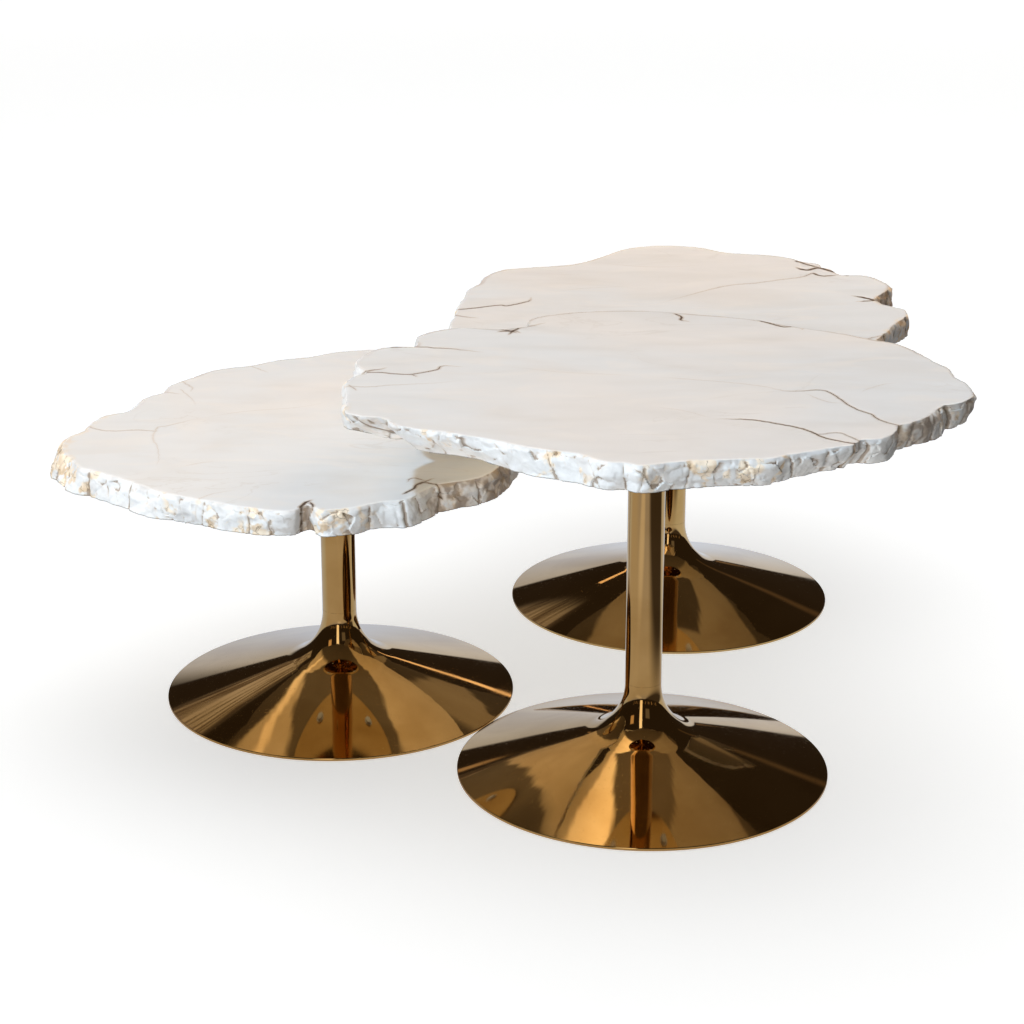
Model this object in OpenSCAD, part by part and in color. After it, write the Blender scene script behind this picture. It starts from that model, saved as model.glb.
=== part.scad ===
// Nesting tables: a set of three free-standing pedestal tables whose tops slide over one another.
// Each table is a stone slab with a broken natural edge, bolted to a steel plate on a slim tube that
// stands on a spun trumpet base. A long rod inside the tube clamps plate, tube, base shell and cast
// ballast together. Lengths are millimetres, bearings are degrees from +X towards +Y.

/* [Set] */
// Height of the tall table's top face above the floor
tall_h = 550; // [500:5:640]
// Drop from each table's top face to that of the next lower table
nest_step = 70; // [55:1:85]
// Bearing of the low table's column from the tall table's column
low_bearing = 147.5; // [135:0.5:160]
// Floor gap between the rims of the low and the tall table's bases
low_gap = 2.5; // [1:0.5:200]
// Bearing of the middle table's column from the tall table's column
middle_bearing = 83.5; // [75:0.5:95]
// Floor gap between the rims of the middle and the tall table's bases
middle_gap = 162; // [100:1:260]

/* [Slabs] */
// Thickness of every slab
slab_t = 35; // [28:1:45]
// Width of the tall table's slab along X
tall_slab_w = 815; // [740:5:880]
// Width of the middle table's slab along X
middle_slab_w = 712; // [660:4:780]
// Width of the low table's slab along X
low_slab_w = 675; // [600:1:720]
// How far the middle of the broken wall stands out between its top and its foot
edge_bulge = 4; // [0:0.5:8]
// Share of the wall's natural lean that is kept, from an upright wall to the stone as it broke
edge_lean = 1; // [0:0.1:1.2]
// Height of the chipped corner below the polished face
edge_chip = 4; // [2:0.5:8]
// Depth of the chips and facets that cover the wall
edge_rough = 2; // [0:0.25:3]
// Length of one facet along the wall
edge_facet = 12; // [12:1:30]

/* [Columns] */
// Outer diameter of the column tube
column_d = 50; // [42:1:64]
// Wall thickness of the column tube
column_wall = 2.5; // [2:0.5:4]

/* [Trumpet bases] */
// Diameter of each base at its rim
base_d = 510; // [440:5:580]
// Slope of the base's straight flank
base_slope = 16; // [13:0.5:20]
// Radius of the sweep from the flank up into the column
neck_fillet = 76; // [60:1:95]
// Height of the straight collar that the column tube stands on
neck_collar = 3; // [2:0.5:8]
// Wall thickness of the spun shell
shell_t = 3; // [2:0.25:4]
// Height of the upright band at the rim
rim_h = 3.5; // [3:0.5:8]
// Radius of the rim's upper corner
rim_round = 1.2; // [0.5:0.1:2]
// Air between the shell's rim and the floor
rim_gap = 1; // [0.5:0.25:3]

/* [Ballast] */
// Thickness of the cast ballast plate
ballast_t = 14; // [8:1:20]
// Wall of the ballast's hub around the nut recess
hub_wall = 12; // [8:1:18]
// Solid metal of the hub above the nut recess
hub_floor = 18; // [10:1:30]
// Thickness of the floor pad under the ballast
pad_t = 6; // [5:0.5:10]
// Margin from the ballast's edge in to the pad's edge
pad_margin = 7; // [3:0.5:15]
// Diameter of the pad's hole under the nut
pad_hole_d = 60; // [50:1:90]

/* [Slab fixing] */
// Diameter of the steel plate under the slab
plate_d = 240; // [200:5:300]
// Thickness of the steel plate
plate_t = 6; // [4:0.5:10]
// Thickness of the gasket between plate and slab
gasket_t = 2; // [1:0.5:4]
// Distance from the plate's rim in to the screws' centres
screw_inset = 25; // [16:1:40]
// Number of screws in the plate
screw_count = 4; // [3:1:6]
// Diameter of the plate screws
screw_d = 8; // [6:1:10]
// Width of the screw's hexagon head across its flats
screw_flats = 13; // [12:0.5:16]
// Height of the screw's head
screw_head_h = 5.5; // [4:0.5:8]
// How far a screw reaches into its insert
screw_grip = 15; // [10:1:18]
// Outer diameter of the washers under the screw heads
screw_washer_d = 18; // [17:1:24]
// Thickness of the washers under the screw heads
screw_washer_t = 1.6; // [1:0.2:3]
// Outer diameter of the threaded inserts
insert_d = 13; // [12:0.5:16]
// Length of the threaded inserts
insert_len = 20; // [18:1:24]
// Length of the boss that the plate carries inside the column
boss_len = 40; // [25:1:60]

/* [Tie rod] */
// Diameter of the tie rod
rod_d = 12; // [8:1:14]
// Width of the rod's nut across its flats
nut_flats = 18; // [17:0.5:24]
// Height of the rod's nut
nut_h = 10; // [6:0.5:14]
// Outer diameter of the washer above the nut
rod_washer_d = 26; // [25:1:34]
// Thickness of the washer above the nut
rod_washer_t = 2.5; // [1.5:0.5:4]
// How far the rod stands out below its nut
rod_tail = 2; // [1:0.5:4]
// Length of the sleeve inside the base's neck
sleeve_down = 24; // [15:1:35]
// Length of the sleeve inside the column tube
sleeve_up = 45; // [25:1:60]

/* [Clearances] */
// Air between the ballast's flank and the inside of the shell
flank_gap = 0.2; // [0.1:0.05:0.5]
// Radial clearance of the spigots in the tube and the neck
spigot_gap = 0.1; // [0.05:0.05:0.3]
// Radial clearance where a threaded piece sits in its thread
thread_gap = 0.05; // [0.02:0.01:0.1]
// Radial clearance of a screw or the rod in a plain hole
bolt_gap = 0.5; // [0.3:0.1:0.9]
// Depth left free beyond the end of an insert
drill_gap = 0.5; // [0.3:0.1:0.9]
// Room around the washer in the nut recess
socket_gap = 2; // [1:0.5:4]
// Height from the end of the rod down to the ballast's underside
rod_cover = 2; // [1:0.5:5]

/* [Hidden] */
$fn = 96;
EPS = 0.1;
TALL = 0;
MIDDLE = 1;
LOW = 2;
NAMES = ["tall", "middle", "low"];
PIECES = [
    "slab", "slab_inserts", "slab_gasket", "top_plate", "plate_screws", "screw_washers", "plate_boss",
    "column", "neck_sleeve", "tie_rod", "base_shell", "ballast", "rod_washer", "rod_nut", "base_pad"
];

// Edge of each polished face as [bearing, reach from the column's axis], lobe by lobe round the slab
TALL_EDGE = [
    [1, 417], [6, 408], [11, 414], [16, 408], [29, 411], [35, 397], [43, 386], [55, 371], [63, 377],
    [76, 378], [89, 389], [101, 390], [108, 385], [112, 380], [115, 366], [117.5, 338], [124, 341],
    [128, 365], [131, 388], [138, 399], [142, 396], [146, 373], [149, 366], [150.5, 388], [153, 404],
    [158, 408], [163, 407], [167, 396], [171.5, 377], [174, 390], [178, 397], [186, 395], [193, 401],
    [198.5, 410], [201, 396], [203, 374], [209, 369], [214, 354], [218, 336], [222, 328], [231, 314],
    [240, 314], [251, 312], [256, 328], [259, 337], [262.5, 334], [265, 344], [271, 331], [276, 326],
    [288, 333], [292, 341], [296.5, 336], [304, 340], [309, 346], [312.5, 352], [315.5, 343],
    [318, 356], [321, 361], [326, 357], [329.5, 351], [331, 357], [337, 370], [345.5, 381],
    [346.5, 390], [350, 411], [355, 420]
];
MIDDLE_EDGE = [
    [0.5, 363], [3.5, 346], [6.5, 333], [12, 331], [16, 348], [21, 381], [25, 396], [33.5, 404],
    [36, 396], [38.5, 372], [42, 380], [44.5, 391], [47, 389], [50, 409], [54, 405], [58, 418],
    [62, 421], [73, 412], [82, 445], [88, 452], [94, 443], [98, 428], [103, 394], [111, 356],
    [118, 344], [126, 359], [136, 382], [144, 371], [151, 353], [157, 352], [166, 341], [176, 339],
    [187, 347], [192, 357], [198, 367], [214, 374], [232, 370], [250, 351], [270, 340], [290, 342],
    [309, 348], [325, 344], [335, 341], [344, 342], [351, 354], [356, 363]
];
LOW_EDGE = [
    [12, 296], [28, 340], [45, 382], [62, 407], [75, 420], [84, 416], [93, 400], [101, 373],
    [107.5, 368], [116, 353], [124, 358], [133, 344], [142, 334], [148, 317], [153, 324], [162, 316],
    [166.5, 315], [172, 343], [178.5, 351], [183, 353], [188, 376], [193, 385], [199, 388],
    [205, 385], [209.5, 386], [214, 375], [220.5, 364], [225, 361], [235, 364], [246, 363],
    [252, 369], [259, 375], [263, 378], [266, 374], [267, 355], [269, 355], [271, 373], [277, 366],
    [284.5, 349], [288.5, 351], [293, 330], [300.5, 308], [305, 312], [310, 317], [314, 315],
    [319, 306], [335, 280], [348, 272]
];
EDGES = [TALL_EDGE, MIDDLE_EDGE, LOW_EDGE];
// Lean of each wall as [bearing, how far its foot stands out past the face's edge, or in under it]
TALL_LEAN = [
    [10, -6], [90, -4], [180, 2], [191, 2], [198, -44], [204, -42], [211, -22], [224, -20],
    [232, -5], [250, 6], [264, 0], [290, -4], [306, -15], [317, -16], [322, -6], [333, -8],
    [342, 8], [350, -8]
];
MIDDLE_LEAN = [[0, 0], [30, 8], [60, 4], [180, 4], [270, 0]];
LOW_LEAN = [
    [0, 8], [60, 4], [130, 4], [175, 12], [188, 20], [207, 17], [215, 12], [232, 14], [241, 3],
    [248, 6], [264, 0], [277, 6], [281, 0], [292, 16], [300, 12], [306, 7], [335, 10]
];
LEANS = [TALL_LEAN, MIDDLE_LEAN, LOW_LEAN];
SLAB_WIDTHS = [tall_slab_w, middle_slab_w, low_slab_w];
// Seed of each wall's facets
SEEDS = [11, 23, 37];

// Heights and places of the tables
TOPS = [tall_h, tall_h - nest_step, tall_h - 2 * nest_step];
SLAB_FOOTS = [for (top = TOPS) top - slab_t];
PLATE_TOPS = [for (foot = SLAB_FOOTS) foot - gasket_t];
COLUMN_TOPS = [for (top = PLATE_TOPS) top - plate_t];
STANDS = [
    [0, 0],
    (base_d + middle_gap) * [cos(middle_bearing), sin(middle_bearing)],
    (base_d + low_gap) * [cos(low_bearing), sin(low_bearing)]
];

// Trumpet base: the fillet's centre, and the height of the collar that the tube stands on
base_r = base_d / 2;
column_r = column_d / 2;
rim_top = rim_gap + rim_h;
sweep_r = column_r + neck_fillet;
sweep_z = rim_top + (base_r - sweep_r) * tan(base_slope) + neck_fillet / cos(base_slope);
collar_z = sweep_z + neck_collar;

// Ballast, recess and rod
ballast_top = pad_t + ballast_t;
recess_r = rod_washer_d / 2 + socket_gap;
recess_top = pad_t + rod_cover + rod_tail + nut_h + rod_washer_t;
hub_r = recess_r + hub_wall;
hub_top = recess_top + hub_floor;
rod_foot = pad_t + rod_cover;
washer_foot = recess_top - rod_washer_t;
pad_r = base_r + (rim_top - pad_t - (shell_t + flank_gap) / cos(base_slope)) / tan(base_slope)
    - pad_margin;
screw_r = plate_d / 2 - screw_inset;
bore_r = column_r - column_wall;

// Broken edge: shares of the slab's thickness at which the wall's rings lie, from the face downwards,
// and the powers that set where it bulges most and where its lean sets in
WALL_SHARES = [0, edge_chip / slab_t, 0.3, 0.48, 0.66, 0.84, 1];
BULGE_POWER = 0.6;
LEAN_POWER = 1.4;

function bearing_step(a, b) = b > a ? b - a : b - a + 360;
function span(values) = max(values) - min(values);

// Slope of an edge at its control point i: flat at every crest and notch, so that nothing overshoots
function edge_slope(edge, i) =
    let (
        n = len(edge),
        before = edge[(i + n - 1) % n],
        here = edge[i],
        after = edge[(i + 1) % n],
        step_in = bearing_step(before[0], here[0]),
        step_out = bearing_step(here[0], after[0]),
        slope_in = (here[1] - before[1]) / step_in,
        slope_out = (after[1] - here[1]) / step_out
    )
    slope_in * slope_out <= 0 ? 0 :
        3 * (step_in + step_out)
        / ((2 * step_out + step_in) / slope_in + (step_out + 2 * step_in) / slope_out);

// Reach at share t of the way from control point i to the next one, on a cubic between the two
function edge_reach(edge, i, t) =
    let (
        j = (i + 1) % len(edge),
        step = bearing_step(edge[i][0], edge[j][0]),
        t2 = t * t,
        t3 = t2 * t
    )
    (2 * t3 - 3 * t2 + 1) * edge[i][1] + (3 * t2 - 2 * t3) * edge[j][1]
    + step * ((t3 - 2 * t2 + t) * edge_slope(edge, i) + (t3 - t2) * edge_slope(edge, j));

// The whole edge as [bearing, reach] points about one facet apart, at the slab's own width
function edge_line(edge, width) =
    let (size = width / span([for (p = edge) p[1] * cos(p[0])]))
    [
        for (i = [0 : len(edge) - 1])
            let (
                step = bearing_step(edge[i][0], edge[(i + 1) % len(edge)][0]),
                count = max(1, round(step * PI / 180 * edge[i][1] / edge_facet))
            )
            for (k = [0 : count - 1])
                [edge[i][0] + step * k / count, size * edge_reach(edge, i, k / count)]
    ];

// Value on any bearing of a closed line through [bearing, value] points
function on_bearing(line, bearing) =
    let (
        i = [
            for (k = [0 : len(line) - 1])
                if ((bearing - line[k][0] + 720) % 360
                    < bearing_step(line[k][0], line[(k + 1) % len(line)][0])) k
        ][0],
        step = bearing_step(line[i][0], line[(i + 1) % len(line)][0])
    )
    edge_reach(line, i, ((bearing - line[i][0] + 720) % 360) / step);

// How far a wall stands out past the face's edge at a share of its height
function wall_out(table, share, bearing) =
    edge_bulge * sin(180 * pow(share, BULGE_POWER))
    + edge_lean * pow(share, LEAN_POWER) * on_bearing(LEANS[table], bearing);

// One ring of wall points: chipped everywhere but on the line of the polished face
function wall_ring(table, level) =
    let (
        line = edge_line(EDGES[table], SLAB_WIDTHS[table]),
        share = WALL_SHARES[level],
        chips = rands(-1, 1, len(line), SEEDS[table] + level)
    )
    [
        for (i = [0 : len(line) - 1])
            let (
                bearing = line[i][0],
                chip = level == 0 ? 0 : edge_rough * chips[i],
                reach = line[i][1] + wall_out(table, share, bearing) + chip
            )
            [reach * cos(bearing), reach * sin(bearing), TOPS[table] - share * slab_t]
    ];

function slab_rings(table) = [for (level = [0 : len(WALL_SHARES) - 1]) wall_ring(table, level)];
RINGS = [for (table = [TALL, MIDDLE, LOW]) slab_rings(table)];

// Middle of the whole set's floor box, which the model's origin stands on
function reaches(axis) =
    [for (table = [TALL, MIDDLE, LOW]) for (ring = RINGS[table]) for (p = ring) p[axis] + STANDS[table][axis]];
function middle_of(values) = (max(values) + min(values)) / 2;
SET_MIDDLE = [middle_of(reaches(0)), middle_of(reaches(1))];

module at_table(table) {
    translate(STANDS[table] - SET_MIDDLE) children();
}

module at_screws() {
    for (i = [0 : screw_count - 1])
        rotate(45 + i * 360 / screw_count) translate([screw_r, 0]) children();
}

// Upright cylinder between two heights
module turned(r, foot, top, fn = $fn) {
    translate([0, 0, foot]) cylinder(r = r, h = top - foot, $fn = fn);
}

module ring_between(r, bore, foot, top) {
    difference() {
        turned(r, foot, top);
        turned(bore, foot - EPS, top + EPS);
    }
}

module hexagon_nut(flats, foot, top) {
    turned(flats / 2 / cos(30), foot, top, 6);
}

// Closed loft through the wall's rings, capped by the polished face and the sawn underside
module broken_stone(rings) {
    n = len(rings[0]);
    last = len(rings) - 1;
    walls = [
        for (level = [0 : last - 1]) for (i = [0 : n - 1])
            let (
                a = level * n + i,
                b = level * n + (i + 1) % n,
                c = b + n,
                d = a + n
            )
            each ((i + level) % 2 == 0 ? [[a, b, c], [a, c, d]] : [[a, b, d], [b, c, d]])
    ];
    face = [for (i = [n - 1 : -1 : 0]) i];
    underside = [for (i = [0 : n - 1]) last * n + i];
    polyhedron([for (ring = rings) each ring], concat([face, underside], walls));
}

module slab(table) {
    color("whitesmoke") difference() {
        broken_stone(RINGS[table]);
        at_screws() turned(
            insert_d / 2 + thread_gap,
            SLAB_FOOTS[table] - EPS,
            SLAB_FOOTS[table] + insert_len + drill_gap
        );
    }
}

module slab_inserts(table) {
    foot = SLAB_FOOTS[table];
    color("gold") at_screws() ring_between(insert_d / 2, screw_d / 2 + thread_gap, foot, foot + insert_len);
}

module slab_gasket(table) {
    color("dimgray") difference() {
        turned(plate_d / 2, PLATE_TOPS[table], SLAB_FOOTS[table]);
        at_screws() turned(screw_d / 2 + bolt_gap, PLATE_TOPS[table] - EPS, SLAB_FOOTS[table] + EPS);
    }
}

module top_plate(table) {
    color("slategray") difference() {
        turned(plate_d / 2, COLUMN_TOPS[table], PLATE_TOPS[table]);
        at_screws() turned(screw_d / 2 + bolt_gap, COLUMN_TOPS[table] - EPS, PLATE_TOPS[table] + EPS);
    }
}

module plate_screws(table) {
    head_top = COLUMN_TOPS[table] - screw_washer_t;
    color("silver") at_screws() {
        hexagon_nut(screw_flats, head_top - screw_head_h, head_top);
        turned(screw_d / 2, head_top - EPS, SLAB_FOOTS[table] + screw_grip);
    }
}

module screw_washers(table) {
    color("silver") at_screws() ring_between(
        screw_washer_d / 2,
        screw_d / 2 + bolt_gap,
        COLUMN_TOPS[table] - screw_washer_t,
        COLUMN_TOPS[table]
    );
}

module plate_boss(table) {
    color("slategray") ring_between(
        bore_r - spigot_gap,
        rod_d / 2 + thread_gap,
        COLUMN_TOPS[table] - boss_len,
        COLUMN_TOPS[table]
    );
}

module column(table) {
    color("darkgoldenrod") ring_between(column_r, bore_r, collar_z, COLUMN_TOPS[table]);
}

// Stepped sleeve: its lower end fits the base's neck, its upper end the column tube
module neck_sleeve() {
    color("slategray") difference() {
        union() {
            turned(column_r - shell_t - spigot_gap, sweep_z - sleeve_down, collar_z);
            turned(bore_r - spigot_gap, collar_z - EPS, collar_z + sleeve_up);
        }
        turned(rod_d / 2 + bolt_gap, sweep_z - sleeve_down - EPS, collar_z + sleeve_up + EPS);
    }
}

module tie_rod(table) {
    color("silver") turned(rod_d / 2, rod_foot, COLUMN_TOPS[table] - EPS);
}

// Half section of the trumpet, all its skin moved inwards by inset: flank, sweep and straight collar
module trumpet_section(inset, foot) {
    rim_r = base_r - inset;
    sweep = neck_fillet + inset;
    corner_z = rim_top - inset / cos(base_slope) + inset * tan(base_slope);
    round_z = corner_z + rim_round * tan(base_slope) - rim_round / cos(base_slope);
    difference() {
        union() {
            polygon([
                [0, foot],
                [rim_r, foot],
                [rim_r, round_z],
                [rim_r - rim_round * (1 - sin(base_slope)), round_z + rim_round * cos(base_slope)],
                [sweep_r - sweep * sin(base_slope), sweep_z - sweep * cos(base_slope)],
                [sweep_r, sweep_z],
                [column_r - inset, sweep_z],
                [column_r - inset, collar_z],
                [0, collar_z]
            ]);
            translate([rim_r - rim_round, round_z]) circle(rim_round);
        }
        translate([sweep_r, sweep_z]) circle(sweep);
    }
}

module base_shell() {
    color("goldenrod") rotate_extrude() difference() {
        trumpet_section(0, rim_gap);
        trumpet_section(shell_t, rim_gap - EPS);
        translate([-EPS, sweep_z]) square([column_r - shell_t + EPS, neck_collar + EPS]);
    }
}

// Cast disc whose flank follows the shell, with a hub that sinks the nut above the floor
module ballast() {
    color("dimgray") difference() {
        union() {
            rotate_extrude() intersection() {
                trumpet_section(shell_t + flank_gap, 0);
                translate([0, pad_t]) square([base_r, ballast_t]);
            }
            turned(hub_r, ballast_top - EPS, hub_top);
        }
        turned(recess_r, pad_t - EPS, recess_top);
        turned(rod_d / 2 + bolt_gap, recess_top - EPS, hub_top + EPS);
    }
}

module rod_washer() {
    color("silver") ring_between(rod_washer_d / 2, rod_d / 2 + bolt_gap, washer_foot, recess_top);
}

module rod_nut() {
    color("silver") difference() {
        hexagon_nut(nut_flats, washer_foot - nut_h, washer_foot);
        turned(rod_d / 2 + thread_gap, washer_foot - nut_h - EPS, washer_foot + EPS);
    }
}

module base_pad() {
    color("black") ring_between(pad_r, pad_hole_d / 2, 0, pad_t);
}

for (table = [TALL, MIDDLE, LOW]) at_table(table) {
    name = NAMES[table];
    slab(table);
    slab_inserts(table);
    slab_gasket(table);
    top_plate(table);
    plate_screws(table);
    screw_washers(table);
    plate_boss(table);
    column(table);
    neck_sleeve();
    tie_rod(table);
    base_shell();
    ballast();
    rod_washer();
    rod_nut();
    base_pad();
}
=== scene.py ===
"""Looks of the nesting tables: three stone slabs with broken edges on spun bronze pedestals."""

import logging
import math
from collections.abc import Callable, Iterable, Sequence
from dataclasses import dataclass, field
from enum import Enum

import bmesh
import bpy
import numpy as np
from mathutils import Matrix, Vector, geometry, noise


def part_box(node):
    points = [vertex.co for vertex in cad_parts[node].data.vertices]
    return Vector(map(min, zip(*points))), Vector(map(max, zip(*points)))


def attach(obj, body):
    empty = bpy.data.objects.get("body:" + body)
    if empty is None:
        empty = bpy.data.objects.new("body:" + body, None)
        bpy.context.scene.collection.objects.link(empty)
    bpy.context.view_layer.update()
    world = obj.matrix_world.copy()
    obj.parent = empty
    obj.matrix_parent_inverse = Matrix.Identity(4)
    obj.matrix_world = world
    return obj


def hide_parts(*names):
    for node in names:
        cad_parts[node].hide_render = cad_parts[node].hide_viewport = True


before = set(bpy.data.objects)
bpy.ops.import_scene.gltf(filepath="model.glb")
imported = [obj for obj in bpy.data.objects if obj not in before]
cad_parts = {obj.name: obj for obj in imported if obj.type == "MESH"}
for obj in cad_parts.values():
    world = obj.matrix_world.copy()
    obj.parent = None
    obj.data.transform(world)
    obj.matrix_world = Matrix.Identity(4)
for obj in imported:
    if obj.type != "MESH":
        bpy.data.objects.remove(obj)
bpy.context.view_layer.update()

MM = 0.001
WHOLE_TURN = 2 * math.pi
NOISE_SEED = 7
INSERT_RADIUS = 6.5 * MM
BORE_RADIUS = INSERT_RADIUS + 0.05 * MM
LOG = logging.getLogger("nesting_tables")
Colour = tuple[float, float, float]
Point = tuple[float, float]


class TableName(Enum):
    """The three tables, by the first word of their nodes' names."""

    TALL = "tall"
    MIDDLE = "middle"
    LOW = "low"


# --- Node trees ---


def sides(operation: str) -> tuple[Callable, Callable]:
    """Makes an operator of Wire for the left side and for the right side."""

    def left(wire: "Wire", other: "Wire | float") -> "Wire":
        """Result with the wire first."""
        return wire.maths(operation, wire, other)

    def right(wire: "Wire", other: float) -> "Wire":
        """Result with the wire second."""
        return wire.maths(operation, other, wire)

    return left, right


class Wire:
    """One output socket of a node tree. Its operators add Math nodes."""

    def __init__(self, bench: "Bench", socket: bpy.types.NodeSocket) -> None:
        """Keeps the socket and the bench that it belongs to."""
        self.bench = bench
        self.socket = socket

    def maths(self, operation: str, *values: "Wire | float") -> "Wire":
        """Adds one Math node.

        Args:
            operation: The Math node's operation.
            values: What goes into its sockets, in order.

        Returns:
            The node's result.
        """
        return self.bench.node(
            "ShaderNodeMath", {"operation": operation}, dict(enumerate(values))
        )

    __add__, __radd__ = sides("ADD")
    __sub__, __rsub__ = sides("SUBTRACT")
    __mul__, __rmul__ = sides("MULTIPLY")

    def __abs__(self) -> "Wire":
        """Size without its sign."""
        return self.maths("ABSOLUTE", self)

    def highest(self, other: "Wire | float") -> "Wire":
        """The greater of the two."""
        return self.maths("MAXIMUM", self, other)

    def between(self, low: float, high: float, start: float = 0.0, end: float = 1.0) -> "Wire":
        """Smooth step of this value.

        Args:
            low: Where the step starts.
            high: Where the step ends.
            start: Result at and before low.
            end: Result at and after high.

        Returns:
            The stepped value.
        """
        return self.bench.node(
            "ShaderNodeMapRange",
            {"interpolation_type": "SMOOTHSTEP"},
            {0: self, 1: low, 2: high, 3: start, 4: end},
        )


class Bench:
    """Builds the nodes of one material or world."""

    def __init__(self, tree: bpy.types.NodeTree) -> None:
        """Clears the tree and keeps it."""
        tree.nodes.clear()
        self.tree = tree

    def node(
        self,
        kind: str,
        settings: dict[str, object] | None = None,
        inputs: dict[int | str, object] | None = None,
        output: int | str = 0,
    ) -> Wire:
        """Adds any node.

        Args:
            kind: The node's type.
            settings: Its own settings.
            inputs: Values or wires for its sockets, by number or name.
            output: Which output is wanted.

        Returns:
            That output.
        """
        made = self.tree.nodes.new(kind)
        for name, value in (settings or {}).items():
            setattr(made, name, value)
        for key, value in (inputs or {}).items():
            if isinstance(value, Wire):
                self.tree.links.new(value.socket, made.inputs[key])
            else:
                made.inputs[key].default_value = value
        return Wire(self, made.outputs[output])

    def mix(self, share: Wire | float, first: Wire | Colour, second: Wire | Colour) -> Wire:
        """Mixes two colours by a share from 0, the first, to 1, the second."""
        ends = [end if isinstance(end, Wire) else (*end, 1.0) for end in (first, second)]
        return self.node(
            "ShaderNodeMix", {"data_type": "RGBA"}, {0: share, 6: ends[0], 7: ends[1]}, 2
        )

    def place(self, scale: Colour = (1, 1, 1), turn: Colour = (0, 0, 0)) -> Wire:
        """Object coordinates, stretched by scale and turned by angles in degrees."""
        coordinates = self.node("ShaderNodeTexCoord", output="Object")
        turned = tuple(math.radians(angle) for angle in turn)
        return self.node(
            "ShaderNodeMapping", None, {"Vector": coordinates, "Rotation": turned, "Scale": scale}
        )

    def grain(
        self, where: Wire, scale: float, detail: float = 4.0, rough: float = 0.5, bend: float = 0.0
    ) -> Wire:
        """Fractal noise around 0.5.

        Args:
            where: Coordinates.
            scale: Repeats for each metre.
            detail: Octaves.
            rough: Weight of the finer octaves.
            bend: Distortion.

        Returns:
            The noise.
        """
        return self.node(
            "ShaderNodeTexNoise",
            None,
            {"Vector": where, "Scale": scale, "Detail": detail, "Roughness": rough,
             "Distortion": bend},
        )

    def measure(self, name: str) -> Wire:
        """Reads a value stored on the mesh's points."""
        return self.node("ShaderNodeAttribute", {"attribute_name": name}, None, "Fac")

    def bump(self, height: Wire, distance: float, strength: float, under: Wire | None = None) -> Wire:
        """Turns a height into a normal.

        Args:
            height: Height field from 0 to 1.
            distance: What a height of 1 stands for, in metres.
            strength: Share of the effect.
            under: A normal to build on.

        Returns:
            The normal.
        """
        inputs = {"Height": height, "Distance": distance, "Strength": strength}
        if under is not None:
            inputs["Normal"] = under
        return self.node("ShaderNodeBump", None, inputs)

    def finish(self, **inputs: object) -> None:
        """Ends the tree in a Principled surface. Underscores in the names stand for spaces."""
        sockets = {name.replace("_", " "): value for name, value in inputs.items()}
        self.end(self.node("ShaderNodeBsdfPrincipled", None, sockets))

    def end(self, shader: Wire, kind: str = "Material") -> None:
        """Ends the tree in any surface or background."""
        made = self.tree.nodes.new(f"ShaderNodeOutput{kind}")
        self.tree.links.new(shader.socket, made.inputs["Surface"])

    def glow(self, strength: Wire | float, colour: Wire | Colour = (1.0, 1.0, 1.0)) -> Wire:
        """Surface that only shines."""
        tint = colour if isinstance(colour, Wire) else (*colour, 1.0)
        return self.node("ShaderNodeEmission", None, {"Color": tint, "Strength": strength})

    def axes(self, where: Wire) -> list[Wire]:
        """The three parts of a place."""
        return [self.node("ShaderNodeSeparateXYZ", None, {0: where}, axis) for axis in "XYZ"]


def fresh_material(name: str) -> tuple[bpy.types.Material, Bench]:
    """Makes a material with an empty tree."""
    made = bpy.data.materials.new(name)
    made.use_nodes = True
    return made, Bench(made.node_tree)


# --- Finishes ---


@dataclass(frozen=True)
class Finish:
    """A surface finish that builds its material once."""

    name: str

    def material(self) -> bpy.types.Material:
        """Returns the finish's material, made on first use."""
        label = f"{self.name}_finish"
        made = bpy.data.materials.get(label)
        if made is None:
            made, bench = fresh_material(label)
            self.build(bench)
        return made

    def build(self, bench: Bench) -> None:
        """Fills the material's tree. Each finish has its own."""
        raise NotImplementedError


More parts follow.
